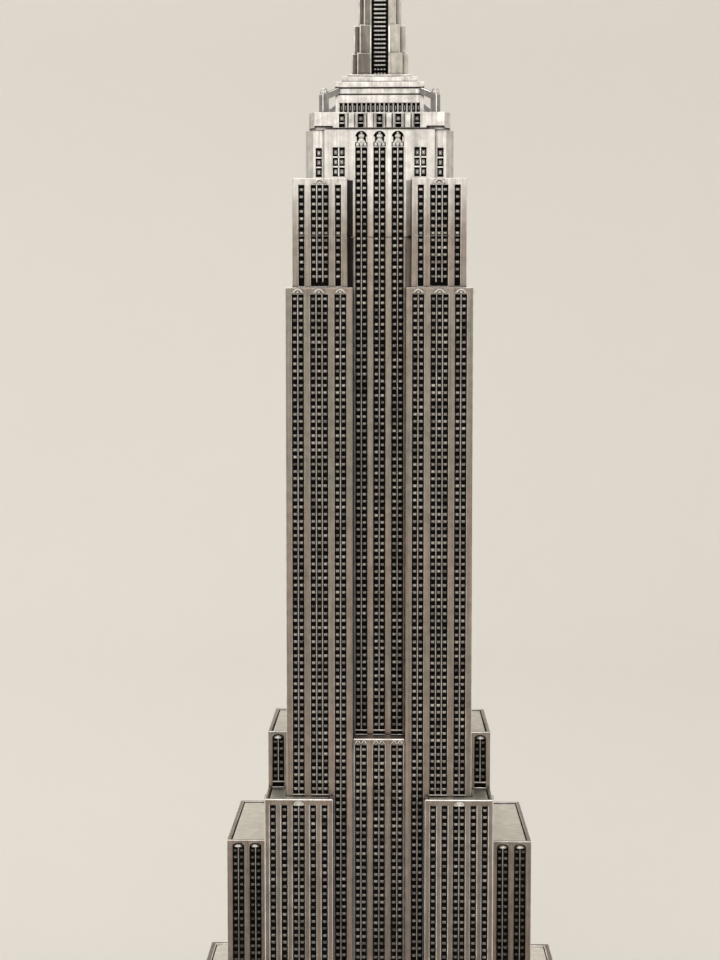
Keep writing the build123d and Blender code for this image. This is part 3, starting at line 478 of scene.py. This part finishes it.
def looks_inward(face):
    """Whether an upright face looks across the tower, where patina stays and painted shade goes.
    """
    spot = face.calc_center_median()
    return any(abs(face.normal[i]) > 0.9 and face.normal[i] * spot[i] < 0 for i in (0, 1))


def darken_patch(bm, patina_and_shade, axis, low, high, amount):
    """Darken a patch of the walls that run along x (axis 0) or y (1), between two corners: a
    painted shadow beside the shoulders, or the lantern's darker band.
    """
    for value, cut_axis in ((low[0], axis), (high[0], axis), (low[1], 2), (high[1], 2)):
        across = Vector([cut_axis == i for i in range(3)])
        bmesh.ops.bisect_plane(bm, geom=bm.verts[:] + bm.edges[:] + bm.faces[:], dist=1e-7,
                               plane_co=across * value, plane_no=across)
    for face in bm.faces:
        spot = face.calc_center_median()
        inside = low[0] < spot[axis] < high[0] and low[1] < spot.z < high[1]
        if inside and abs(face.normal[1 - axis]) > 0.9:
            face[patina_and_shade] = max(face[patina_and_shade], amount)


def blacken(bm, patina_and_shade, node, strips):
    """Mark the black patina of one casting's hollows and its painted shade."""
    for face in bm.faces:
        if node == "mast_core":
            face[patina_and_shade] = 1.0 if abs(face.normal.z) < 0.5 else 0.0
        # the buttresses' flat sides: painted shade
        elif node.startswith("buttress"):
            face[patina_and_shade] = WEB_SHADE if abs(abs(face.normal.x) - abs(face.normal.y)) < 0.1 else 0.0
        # walls that look inward: patina and painted shade
        elif looks_inward(face) and not node.startswith("mast"):
            face[patina_and_shade] = INNER_PATINA_AND_SHADE
        # grooves under the steps of the cap and the deck: painted shade
        elif node in ("stepped_cap", "deck_cornice"):
            heights = [v.co.z for v in face.verts]
            groove = max(heights) - min(heights) < GROOVE and face.normal.z < 0.1
            face[patina_and_shade] = 1.0 if groove else 0.0
    for strip in strips:
        strip_floor = strip.pop("face")
        strip_floor[patina_and_shade] = 1.0
        for edge in strip_floor.edges:
            for lining in edge.link_faces:
                if lining != strip_floor and edge.calc_face_angle_signed() < -1:
                    lining[patina_and_shade] = 1.0
    # painted shadow beside the shoulders, darker on the left
    if node in ("crown", "shaft_front", "shaft_back"):
        for low_x, high_x, amount in SHADOW_BESIDE_SHOULDERS:
            darken_patch(bm, patina_and_shade, 0, (low_x, SHOULDER_LOW), (high_x, SHOULDER_HIGH), amount)
    if node == "lantern":
        for axis in (0, 1):
            darken_patch(bm, patina_and_shade, axis, (-LANTERN_BAND, LANTERN_LOW), (LANTERN_BAND, LANTERN_HIGH),
                  LANTERN_SOOT)


print("soot on inward walls:", INNER_PATINA_AND_SHADE, "on buttresses:", WEB_SHADE)

# %% [markdown]
# ## Rubbed edges
# A sand-blasted and rubbed casting has no knife edges. Every outside edge gets a small
# bevel, and the bevel's faces take a mark that paints them bright: partly the line that a
# cloth leaves, partly a painted highlight. A Bevel modifier would round the edges too, but
# couldn't mark its faces.
# The rounding stays under half of the thinnest band, or the two bevels would cross.

# %% Round the edges
EDGE_ROUND = 0.11 * MM
ROOF_ROUND = 0.06 * MM
DECK_ROUND = 0.045 * MM    # only 0.1 mm of wall is left under the deck's openings
FRAME_ROUND = 0.25 * MM    # the low blocks' windows have broader, brighter rims
MAST_ROUND = 0.34 * MM
SHARP = math.radians(30)


def rounded_casting(node, material, rounding=EDGE_ROUND, segments=1):
    """Put a copy with rubbed edges in the CAD node's place; returns its strips."""
    bm = merged_copy(node)
    patina_and_shade = bm.faces.layers.float.new("patina_and_shade")
    wear_and_highlight = bm.faces.layers.float.new("wear_and_highlight")
    strips = sunk_strips(bm, node)
    blacken(bm, patina_and_shade, node, strips)
    sharp = [e for e in bm.edges if len(e.link_faces) == 2
             and e.calc_face_angle_signed() > SHARP and e.calc_length() > 2.5 * rounding]
    made = bmesh.ops.bevel(bm, geom=sharp, offset=rounding, segments=segments, profile=0.5,
                           affect="EDGES", material=-1, clamp_overlap=False)
    # the bevel's faces are painted bright, rubbed wear and a painted highlight, with no patina or
    # shade
    for face in made["faces"]:
        face[wear_and_highlight] = 1.0
        face[patina_and_shade] = 0.0
    piece = finish_piece(f"cast_{node}", bm, [material])
    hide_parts(node)
    return strips


print("most edges are rounded by", EDGE_ROUND / MM, "mm, the mast's by", MAST_ROUND / MM, "mm")

# %% [markdown]
# ## Every casting in turn
# The nodes are sorted into finishes by where they sit: roof plates are satin, the crown
# and everything above it are polished most, the mast's wings have the roundest edges. Each
# copy hides its CAD node, which stays behind for the physics, and hands back its strips.

# %% Castings
UNDERSIDE = ("felt_pad", "base_plate", "base_screws", "tie_rod", "tie_nuts", "tie_washers")
CROWN_PARTS = ("deck_cornice", "lantern", "stepped_cap", "mast_collar", "mast_dome", "mast_drum",
               "mast_core", "antenna", "antenna_socket")
LOW_BLOCKS = ("corner_block", "apron", "lower_tier", "base_shell")
all_strips = []
for node in sorted(set(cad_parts) - set(UNDERSIDE)):
    if "roof" in node:
        strips = rounded_casting(node, roof_metal, ROOF_ROUND)
    elif node == "crown":
        strips = rounded_casting(node, wall_metal)
    elif node.startswith("mast_wing"):
        strips = rounded_casting(node, mast_metal, MAST_ROUND, 3)
    elif node in CROWN_PARTS or node.startswith("buttress"):
        rounding = DECK_ROUND if node == "deck_cornice" else EDGE_ROUND
        strips = rounded_casting(node, crown_metal, rounding)
    elif "panel" in node:
        strips = rounded_casting(node, wall_metal)
    elif node.startswith(LOW_BLOCKS):
        strips = rounded_casting(node, wall_metal, FRAME_ROUND)
    else:
        strips = rounded_casting(node, wall_metal)
    all_strips += strips
print("sunk strips and slots found:", len(all_strips))

# %% [markdown]
# ## Runs of windows
# In every strip the real casting has columns of small raised pads, the panels between one
# floor's windows and the next, and a thin bright bar between columns. Strips that carry on
# from one casting to the next are joined into one run first, so the floors stay in step
# across the joint.

# %% Runs of windows
SHORTEST_RUN = 4 * MM


def window_runs(strips):
    """Join strips that carry straight on upwards into one run each."""
    runs = []
    for strip in sorted(strips, key=lambda s: s["low"]):
        for run in runs:
            if (run["out"] == strip["out"] and abs(run["reach"] - strip["reach"]) < 0.05 * MM
                    and abs(run["centre"] - strip["centre"]) < 0.05 * MM
                    and abs(run["high"] - strip["low"]) < 0.1 * MM):
                run["high"] = strip["high"]
                run["top"] = strip["top"]
                run["nodes"].append(strip["node"])
                break
        else:
            runs.append({**strip, "nodes": [strip["node"]]})
    return runs


tall_strips = [s for s in all_strips if s["node"] not in ("deck_cornice", "lantern")
               and s["high"] - s["low"] > SHORTEST_RUN]
runs = window_runs(tall_strips)
print("window runs:", len(runs), "columns:", sum(round(r["width"] / COLUMN) for r in runs))

# %% [markdown]
# ## Raised blocks
# All relief is built flat, as if every wall lay on the bench: u runs along the wall, v up
# and w out of it. One matrix then stands the whole wall up on its side of the tower. This
# keeps the numbers simple and lets four sides share the same lines of code. A pad, bar or
# sill is a cube with its front edges bevelled, ten faces in all, which matters when there
# are eleven thousand of them.

# %% Raised blocks
def raised_block(bm, u, v, w, wide, high, proud, chamfer, material=0):
    """A block standing on a wall, its front edges chamfered."""
    made = bmesh.ops.create_cube(bm, size=1)
    bmesh.ops.scale(bm, vec=(wide, high, proud), verts=made["verts"])
    bmesh.ops.translate(bm, vec=(u, v, w + proud / 2), verts=made["verts"])
    front = [e for e in {e for x in made["verts"] for e in x.link_edges}
             if all(x.co.z > w + proud / 2 for x in e.verts)]
    for face in {f for x in made["verts"] for f in x.link_faces}:
        face.material_index = material
    cut = bmesh.ops.bevel(bm, geom=front, offset=chamfer, segments=1, profile=0.5,
                          affect="EDGES", material=-1, clamp_overlap=False)
    return whole_shell(cut["faces"][0])


def whole_shell(face):
    """Everything joined to this face: vertices, edges and faces, in a settled order."""
    faces, new = [face], [face]
    while new:
        near = {f for n in new for e in n.edges for f in e.link_faces} - set(faces)
        new = sorted(near, key=lambda f: f.calc_center_median().to_tuple(7))
        faces += new
    edges = list(dict.fromkeys(e for f in faces for e in f.edges))
    verts = list(dict.fromkeys(v for f in faces for v in f.verts))
    return verts + edges + faces


RING = 0.2 * MM


def ringed_pad(bm, u, v, w, wide, high, proud, material=0):
    """A pad with a raised rim round a sunk middle."""
    made = raised_block(bm, u, v, w, wide, high, proud, 0.08 * MM, material)
    faces = [x for x in made if isinstance(x, bmesh.types.BMFace)]
    front = max(faces, key=lambda f: f.calc_center_median().z)
    bmesh.ops.inset_region(bm, faces=[front], thickness=RING, depth=0)
    bmesh.ops.translate(bm, verts=front.verts[:], vec=(0, 0, -0.7 * proud))


def repeat_up(bm, geom, pitch, copies):
    """Copy a shape straight up the wall."""
    bmesh.ops.spin(bm, geom=geom, cent=(0, 0, 0), axis=(0, 0, 1), dvec=(0, pitch, 0), angle=0,
                   steps=copies, use_duplicate=True)


def stand_up(bm, outward):
    """Turn flat relief onto its side of the tower."""
    turn = Matrix(wall_axes(Vector((*outward, 0)))).transposed().to_4x4()
    bmesh.ops.transform(bm, matrix=turn, verts=bm.verts[:])


trial = bmesh.new()
raised_block(trial, 0, 0, 0, MM, MM, MM, 0.1 * MM)
print("a raised block has", len(trial.faces), "faces")
trial.free()

# %% [markdown]
# ## Filling a run
# The pads are counted down from a run's head, because there the first floor always has the
# same place under the parapet. `spin` with duplicates and no angle repeats the lowest pad
# up the strip. Floors that hide behind a block at the tower's foot are left out. The two
# big windows of the crown have cross bars and a ringed pad in each pane instead.

# %% Filling a run
FLOOR_PITCH = 1.87 * MM
PAD_WIDE, PAD_HIGH, PAD_PROUD, PAD_ROUND = 1.05 * MM, 0.74 * MM, 0.32 * MM, 0.2 * MM
BAR_WIDE, BAR_PROUD = 0.27 * MM, 0.43 * MM
SILL_HIGH, SILL_PROUD = 0.36 * MM, 0.55 * MM
PANE_ROWS = 3
PANE_WINDOW = 10 * MM    # a crown window shorter than this is made of panes
CROSS_UP, CROSS_OVER = 0.36 * MM, 0.4 * MM
PANE_WIDE, PANE_HIGH, PANE_PROUD = 0.86 * MM, 1.2 * MM, 0.34 * MM
BLOCKS = ("corner_block", "end_bay", "side_block")
COVERS = [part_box(n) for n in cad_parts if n.startswith(BLOCKS)]
SIDE_NAMES = {(0, -1): "front", (0, 1): "back", (1, 0): "right", (-1, 0): "left"}


def hidden(run, v):
    """Whether another casting stands in front of this run at this height."""
    out = Vector((*run["out"], 0))
    along = Vector((0, 0, 1)).cross(out)
    point = out * (run["reach"] + 0.5 * MM) + along * run["centre"] + Vector((0, 0, v))
    return any(all(lo[i] < point[i] < hi[i] for i in range(3)) for lo, hi in COVERS)


def tier_of(run):
    """The part of the tower a run belongs to, for naming pieces."""
    tier = run["nodes"][0]
    if tier.startswith("shaft"):
        return "shoulder" if len(run["nodes"]) > 1 else "wing"
    for side in SIDE_NAMES.values():
        tier = tier.replace("_" + side, "")
    return tier


def fill_panes(bm, run, columns):
    """Bright cross bars and a ringed pad in every pane of a crown window."""
    base = run["reach"] - STRIP_DEEP
    left, low = run["centre"] - run["width"] / 2, run["low"]
    wide, tall = run["width"] / columns, (run["high"] - low) / PANE_ROWS
    for i in range(1, columns):
        raised_block(bm, left + i * wide, (low + run["high"]) / 2, base, CROSS_UP,
                     run["high"] - low, BAR_PROUD, 0.06 * MM, 1)
    for j in range(1, PANE_ROWS):
        raised_block(bm, run["centre"], low + j * tall, base, run["width"] + 0.1 * MM,
                     CROSS_OVER, BAR_PROUD, 0.06 * MM, 1)
    for i in range(columns):
        for j in range(PANE_ROWS):
            ringed_pad(bm, left + (i + 0.5) * wide, low + (j + 0.5) * tall, base, PANE_WIDE,
                       PANE_HIGH, PANE_PROUD, 1)
    return columns * PANE_ROWS


def fill_run(bm, run):
    """Pads, bars and a sill for one run, in wall coordinates; returns how many pads."""
    base = run["reach"] - STRIP_DEEP
    columns = max(1, round(run["width"] / COLUMN))
    if run["nodes"] == ["crown"] and run["high"] - run["low"] < PANE_WINDOW:
        return fill_panes(bm, run, columns)
    left, pitch = run["centre"] - run["width"] / 2, run["width"] / columns
    rows = []
    v = run["high"] - 0.62 * FLOOR_PITCH
    while v > run["low"] + 0.75 * FLOOR_PITCH:
        if not hidden(run, v - 0.7 * FLOOR_PITCH):
            rows.append(v)
        v -= FLOOR_PITCH
    if not rows:
        return 0
    for i in range(columns):
        pad = raised_block(bm, left + (i + 0.5) * pitch, rows[-1], base, PAD_WIDE, PAD_HIGH,
                           PAD_PROUD, PAD_ROUND)
        if len(rows) > 1:
            repeat_up(bm, pad, FLOOR_PITCH, len(rows) - 1)
    foot = rows[-1] - 0.8 * FLOOR_PITCH
    for i in range(1, columns):
        raised_block(bm, left + i * pitch, (foot + run["high"]) / 2, base, BAR_WIDE,
                     run["high"] - foot, BAR_PROUD, 0.08 * MM, 1)
    if tier_of(run) != "shoulder":
        raised_block(bm, run["centre"], foot, base, run["width"] + 0.1 * MM, SILL_HIGH,
                     SILL_PROUD, 0.1 * MM, 1)
    return columns * len(rows)


pads = 0
for outward, side in SIDE_NAMES.items():
    for tier in sorted({tier_of(r) for r in runs}):
        mine = [r for r in runs if r["out"] == outward and tier_of(r) == tier]
        if not mine:
            continue
        relief = bmesh.new()
        for run in mine:
            pads += fill_run(relief, run)
        stand_up(relief, outward)
        pad_metal = sooted_metal if tier in ("side_block", "end_bay") else relief_metal
        finish_piece(f"windows_{tier}_{side}", relief, [pad_metal, mullion_metal])
print("spandrel pads:", pads)

# %% [markdown]
# ## Lumps and half rings
# Wherever a strip ends under a parapet, the maker modelled a small leaf, shell or finial.
# All of them are soft, half-sunk shapes, so two helpers are enough: a scaled sphere, and a
# half ring made by spinning a small disc half a turn. A sculpted mesh would look the same
# at this size and cost many more faces.

# %% Lumps and half rings
def lump(bm, u, v, w, ru, rv, rw, turn=0.0, material=0, around=10, rings=6):
    """A rounded lump centred on a wall point, turned in the plane of the wall."""
    made = bmesh.ops.create_uvsphere(bm, u_segments=around, v_segments=rings, radius=1)
    verts = made["verts"]
    bmesh.ops.scale(bm, vec=(ru, rv, rw), verts=verts)
    bmesh.ops.rotate(bm, cent=(0, 0, 0), matrix=Matrix.Rotation(turn, 3, "Z"), verts=verts)
    bmesh.ops.translate(bm, vec=(u, v, w), verts=verts)
    for face in {f for x in verts for f in x.link_faces}:
        face.material_index = material
        face.smooth = True
    return verts


def half_ring(bm, u, v, w, radius, squash, thick, material=0):
    """A half ring like a small arch, standing on the wall."""
    made = bmesh.ops.create_circle(bm, cap_ends=True, segments=8, radius=thick)
    verts = made["verts"]
    upright = Matrix.Rotation(math.radians(90), 3, "X")
    bmesh.ops.rotate(bm, cent=(0, 0, 0), matrix=upright, verts=verts)
    bmesh.ops.translate(bm, vec=(radius, 0, 0), verts=verts)
    disc = list({f for x in verts for f in x.link_faces})
    geom = verts + list({e for x in verts for e in x.link_edges}) + disc
    bmesh.ops.spin(bm, geom=geom, cent=(0, 0, 0), axis=(0, 0, 1), angle=math.radians(180),
                   steps=10)
    shell = whole_shell(disc[0])
    ring = [x for x in shell if isinstance(x, bmesh.types.BMVert)]
    faces = [x for x in shell if isinstance(x, bmesh.types.BMFace)]
    bmesh.ops.scale(bm, vec=(1, squash, 1), verts=ring)
    bmesh.ops.translate(bm, vec=(u, v, w), verts=ring)
    bmesh.ops.recalc_face_normals(bm, faces=faces)
    for face in faces:
        face.material_index = material
        face.smooth = True


trial = bmesh.new()
lump(trial, 0, 0, 0, MM, MM, MM)
print("a lump has", len(trial.faces), "faces")
trial.free()

# %% [markdown]
# ## Leaves, shells and finials
# The shapes are plain leaves and shells of no particular building. Each is a handful of
# lumps at places in millimetres from the head of its strip. The scallop is a squashed
# sphere cut off flat with `bisect_plane`, its open side filled, with ribs fanned out on it.

# %% Leaves, shells and finials
LOBES = (    # along, up, half width, half height and depth of a finial's lobes, in mm
    (-0.98, 0.62, 0.5, 0.72, 0.5), (0.98, 0.62, 0.5, 0.72, 0.5), (0, 0.66, 0.54, 0.82, 0.62),
    (-0.5, 1.3, 0.62, 0.6, 0.5), (0.5, 1.3, 0.62, 0.6, 0.5), (0, 1.7, 0.8, 0.9, 0.54),
    (0, 2.8, 0.86, 0.8, 0.62), (0, 3.55, 0.36, 0.5, 0.4),
)
RIB_FAN = 60    # degrees to each side of upright


def crest(bm, u, v, w, size=1.0):
    """A raised leaf arch with a bud under it, over a strip of the wings and shoulders."""
    half_ring(bm, u, v, w, 1.05 * MM * size, 0.84, 0.33 * MM, 1)
    lump(bm, u, v + 0.26 * MM, w, 0.5 * MM * size, 0.34 * MM, 0.36 * MM, material=1)
    for sign in (-1, 1):
        lump(bm, u + sign * 1.42 * MM * size, v + 0.12 * MM, w, 0.3 * MM, 0.15 * MM, 0.22 * MM,
             sign * -0.6, 1)


def leaf_pair(bm, u, v, w):
    """Two raised chevrons of leaves, over a strip of the aprons."""
    for side in (-1, 1):
        for slant in (-1, 1):
            lump(bm, u + (side * 0.8 + slant * 0.4) * MM, v + 0.62 * MM, w, 0.74 * MM,
                 0.23 * MM, 0.4 * MM, slant * -0.95, 1)
        lump(bm, u + side * 0.8 * MM, v + 0.26 * MM, w, 0.26 * MM, 0.26 * MM, 0.34 * MM, 0, 1)


def scallop(bm, u, v, w, half, high, proud, ribs=5):
    """A half dome with ribs, its flat edge down."""
    dome = lump(bm, u, v, w, half, high, proud, 0, 1, 16, 8)
    geom = whole_shell(dome[0].link_faces[0])
    cut = bmesh.ops.bisect_plane(bm, geom=geom, plane_co=(0, v, 0), plane_no=(0, -1, 0),
                                 clear_outer=True)
    rim_edges = [e for e in cut["geom_cut"] if isinstance(e, bmesh.types.BMEdge)]
    bmesh.ops.holes_fill(bm, edges=rim_edges, sides=0)
    for i in range(ribs):
        slant = math.radians(-RIB_FAN + 2 * RIB_FAN * i / (ribs - 1))
        lump(bm, u + math.sin(slant) * half * 0.62, v + math.cos(slant) * high * 0.62,
             w + proud * 0.62, high * 0.42, 0.1 * MM, 0.2 * MM, math.pi / 2 - slant, 1, 8, 6)


def finial(bm, u, v, w):
    """A stepped palmette: three lobes, two above them, a stem and a bud."""
    for along, up, half, high, proud in LOBES:
        lump(bm, u + along * MM, v + up * MM, w, half * MM, high * MM, proud * MM, 0, 0, 12, 8)


def niche_shoulders(bm, niche):
    """Wall that narrows a niche round the finial's head."""
    tall = 1.5 * MM
    for side in (-1, 1):
        raised_block(bm, niche["centre"] + side * 1.42 * MM,
                     niche["high"] - tall / 2 + 0.1 * MM, niche["reach"] - STRIP_DEEP,
                     0.5 * MM, tall, STRIP_DEEP + 0.02 * MM, 0.08 * MM, 2)


print("a finial has", len(LOBES), "lobes")

# %% [markdown]
# ## Which ornament goes where
# The runs already know where each strip ends, so the ornaments follow from them: leaf
# arches on the wings and shoulders, leaves on the aprons, shells in the heads of the low
# blocks' windows and a finial in each niche of the crown.

# %% Ornaments on every wall
NICHE_TALLEST = 4 * MM


def head_ornament(bm, run, tier):
    """Put the ornament of this tier over one run; says whether there is one."""
    columns = round(run["width"] / COLUMN)
    u, v, w = run["centre"], run["high"], run["reach"]
    if tier == "wing":
        crest(bm, u, v + 0.3 * MM, w)
    elif tier == "shoulder" and columns == 3 and run["out"][0] == 0:
        crest(bm, u, v + 0.35 * MM, w, 1.15)
    elif tier == "apron":
        leaf_pair(bm, u, v + 0.25 * MM, w)
    elif tier == "corner_block" and columns == 2:
        scallop(bm, u, v + 0.1 * MM, w, 1.45 * MM, 1.25 * MM, 0.42 * MM)
    elif tier in ("side_block", "end_bay"):
        scallop(bm, u, v - 0.15 * MM, w - STRIP_DEEP, 1.25 * MM, 0.85 * MM, 0.72 * MM, 3)
    else:
        return False
    return True


niches = [s for s in all_strips
          if s["node"] == "crown" and s["high"] - s["low"] < NICHE_TALLEST]
ornaments = 0
for outward, side in SIDE_NAMES.items():
    heads = {}
    for run in runs:
        if run["out"] == outward and not hidden(run, run["top"] + 0.4 * MM):
            tier = tier_of(run)
            if tier not in heads:
                heads[tier] = bmesh.new()
            ornaments += head_ornament(heads[tier], run, tier)
    heads["niche"] = bmesh.new()
    for niche in niches:
        if niche["out"] == outward:
            finial(heads["niche"], niche["centre"], niche["low"] - 0.15 * MM,
                   niche["reach"] - STRIP_DEEP + 0.1 * MM)
            niche_shoulders(heads["niche"], niche)
            ornaments += 1
    for tier, bm in heads.items():
        if not bm.verts:
            bm.free()
            continue
        stand_up(bm, outward)
        finish_piece(f"ornaments_{tier}_{side}", bm, [mullion_metal, ornament_metal, wall_metal])
print("ornaments:", ornaments)

# %% [markdown]
# ## Observation deck and lantern
# Between the deck's openings stand fluted piers: a flat band with a round rib on each
# side. Each opening has a pad and a bright sill, and each slot of the lantern a thin
# upright bar. They are the same raised blocks and lumps as in the window strips.

# %% Deck and lantern details
PIER_WIDE, PIER_PROUD = 1.5 * MM, 0.36 * MM
RIB_WIDE, RIB_OUT = 0.34 * MM, 1.24 * MM
OPENING_PAD = 1.0 * MM
LEDGE_WIDE, LEDGE_HIGH, LEDGE_PROUD = 1.3 * MM, 0.32 * MM, 0.42 * MM
SLIT_BAR = 0.2 * MM
for outward, side in SIDE_NAMES.items():
    openings = [s for s in all_strips if s["out"] == outward and s["node"] == "deck_cornice"]
    openings.sort(key=lambda s: s["centre"])
    deck = bmesh.new()
    for opening in openings:
        u, low, base = opening["centre"], opening["low"], opening["reach"] - STRIP_DEEP
        tall = opening["high"] - low
        ringed_pad(deck, u, low + 0.66 * tall, base, OPENING_PAD, OPENING_PAD, PIER_PROUD, 1)
        raised_block(deck, u, low + 0.32 * tall, base, LEDGE_WIDE, LEDGE_HIGH, LEDGE_PROUD,
                     0.08 * MM, 1)
    for left, right in zip(openings, openings[1:]):
        middle = (left["centre"] + right["centre"]) / 2
        height = (left["low"] + left["high"]) / 2
        raised_block(deck, middle, height, left["reach"], PIER_WIDE, tall + 0.3 * MM,
                     PIER_PROUD, 0.12 * MM, 1)
        for sign in (-1, 1):
            raised_block(deck, middle + sign * RIB_OUT, height, left["reach"], RIB_WIDE,
                         tall + 0.3 * MM, PIER_PROUD, 0.1 * MM, 1)
    stand_up(deck, outward)
    finish_piece(f"deck_piers_{side}", deck, [relief_metal, crown_metal])
    slits = [s for s in all_strips if s["out"] == outward and s["node"] == "lantern"]
    lantern = bmesh.new()
    for slit in slits:
        tall = slit["high"] - slit["low"]
        raised_block(lantern, slit["centre"], slit["low"] + 0.48 * tall,
                     slit["reach"] - STRIP_DEEP, SLIT_BAR, tall * 0.5, SLIT_BAR, 0.05 * MM)
    stand_up(lantern, outward)
    finish_piece(f"lantern_bars_{side}", lantern, [relief_metal])
print("deck openings per side:", len(openings), "lantern slits per side:", len(slits))

# %% [markdown]
# ## Knobs on the corner posts
# A round knob stands on each diagonal post beside the lantern. A sphere squashed a little
# and sunk into the post's top is enough, since the real one is as small as a pinhead.

# %% Knobs on the corner posts
KNOB = 1.0 * MM
POST_MIDDLE = 0.916    # the post's middle as a share of the buttress's outermost corner
POST_HIGH = 5.9 * MM
SUNK = 0.1 * MM
knobs = bmesh.new()
for node in [f"buttress_{end}_{hand}" for end in ("front", "back") for hand in ("left", "right")]:
    low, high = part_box(node)
    post_x = (low.x if "left" in node else high.x) * POST_MIDDLE
    post_y = (low.y if "front" in node else high.y) * POST_MIDDLE
    ball = bmesh.ops.create_uvsphere(knobs, u_segments=16, v_segments=10, radius=KNOB)["verts"]
    bmesh.ops.scale(knobs, vec=(1, 1, 1.15), verts=ball)
    bmesh.ops.translate(knobs, vec=(post_x, post_y, low.z + POST_HIGH - SUNK), verts=ball)
for face in knobs.faces:
    face.smooth = True
finish_piece("post_knobs", knobs, [crown_metal])
print("knobs stand at mm:", round(abs(post_x) / MM, 2), "from the centre lines")

# %% [markdown]
# ## Mast
# Each face of the mast has an upright strip of glass, shown on the casting as a ladder of
# beaded slats on a black ground. Four beads make a slat; the two lowest rows are separate
# dots. The four stepped wings between the faces carry the brightest edges of all.

# %% Mast ladders
ladder_low, ladder_high = (corner.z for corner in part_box("mast_wing_front_left"))
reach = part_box("mast_core")[1].x
SLAT_PITCH = 1.137 * MM
FIRST_BEADS = 0.75 * MM    # above the mast's foot
BEAD_ROW, BEAD_PITCH = 4, 0.86 * MM
DOT_ROWS = 2
SLAT_WIDE, SLAT_HIGH, SLAT_PROUD = 3.3 * MM, 0.4 * MM, 0.14 * MM
slat_count = int((ladder_high - ladder_low - 0.4 * MM) / SLAT_PITCH)
first = ladder_low + FIRST_BEADS
for outward, side in SIDE_NAMES.items():
    ladder = bmesh.new()
    for i in range(BEAD_ROW):
        bead = lump(ladder, (i - (BEAD_ROW - 1) / 2) * BEAD_PITCH, first, reach, 0.4 * MM,
                    0.31 * MM, 0.3 * MM, 0, 0, 8, 6)
        repeat_up(ladder, whole_shell(bead[0].link_faces[0]), SLAT_PITCH, slat_count - 1)
    bar = raised_block(ladder, 0, first + DOT_ROWS * SLAT_PITCH, reach, SLAT_WIDE, SLAT_HIGH,
                       SLAT_PROUD, 0.05 * MM)
    repeat_up(ladder, bar, SLAT_PITCH, slat_count - DOT_ROWS - 1)
    stand_up(ladder, outward)
    finish_piece(f"mast_ladder_{side}", ladder, [mullion_metal])
print("slats on each face of the mast:", slat_count)

# %% [markdown]
# ## Underside
# The souvenir stands on felt. A steel plate screwed into the street tier gives it weight,
# and one long rod clamps all the castings. These parts keep their CAD shape.

# %% Felt and steel
def felt_cloth(name, colour):
    """Pressed wool felt: matt, with short tangled fibres."""
    material = bpy.data.materials.new(name)
    material.use_nodes = True
    nodes, links = material.node_tree.nodes, material.node_tree.links
    shader = nodes["Principled BSDF"]
    shader.inputs["Roughness"].default_value = 0.95
    shader.inputs["Sheen Weight"].default_value = 0.4
    place = nodes.new("ShaderNodeTexCoord").outputs["Object"]
    fibres = cloudy(nodes, links, place, 1800, 4)
    clouds = cloudy(nodes, links, place, 90, 2)
    dark = tuple(c * 0.55 for c in colour)
    body = tint(nodes, links, spread(nodes, links, fibres, 0, 1), dark, colour)
    body = tint(nodes, links, spread(nodes, links, clouds, 0, 0.3), body, dark)
    links.new(body, shader.inputs["Base Color"])
    bump = nodes.new("ShaderNodeBump")
    bump.inputs["Strength"].default_value = 0.8
    bump.inputs["Distance"].default_value = 0.15 * MM
    links.new(fibres, bump.inputs["Height"])
    links.new(bump.outputs["Normal"], shader.inputs["Normal"])
    return material


black_felt = felt_cloth("black_felt", (0.035, 0.035, 0.037))
turned_steel = antique_metal("zinc_steel", (0.62, 0.62, 0.62), (0.52, 0.53, 0.54),
                             (0.8, 0.8, 0.8), 0.32, brush=(0.02, 1, 1), streak=0.25)
for node in UNDERSIDE:
    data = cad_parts[node].data
    data.materials.clear()
    data.materials.append(black_felt if node == "felt_pad" else turned_steel)
print("underside parts finished:", len(UNDERSIDE))
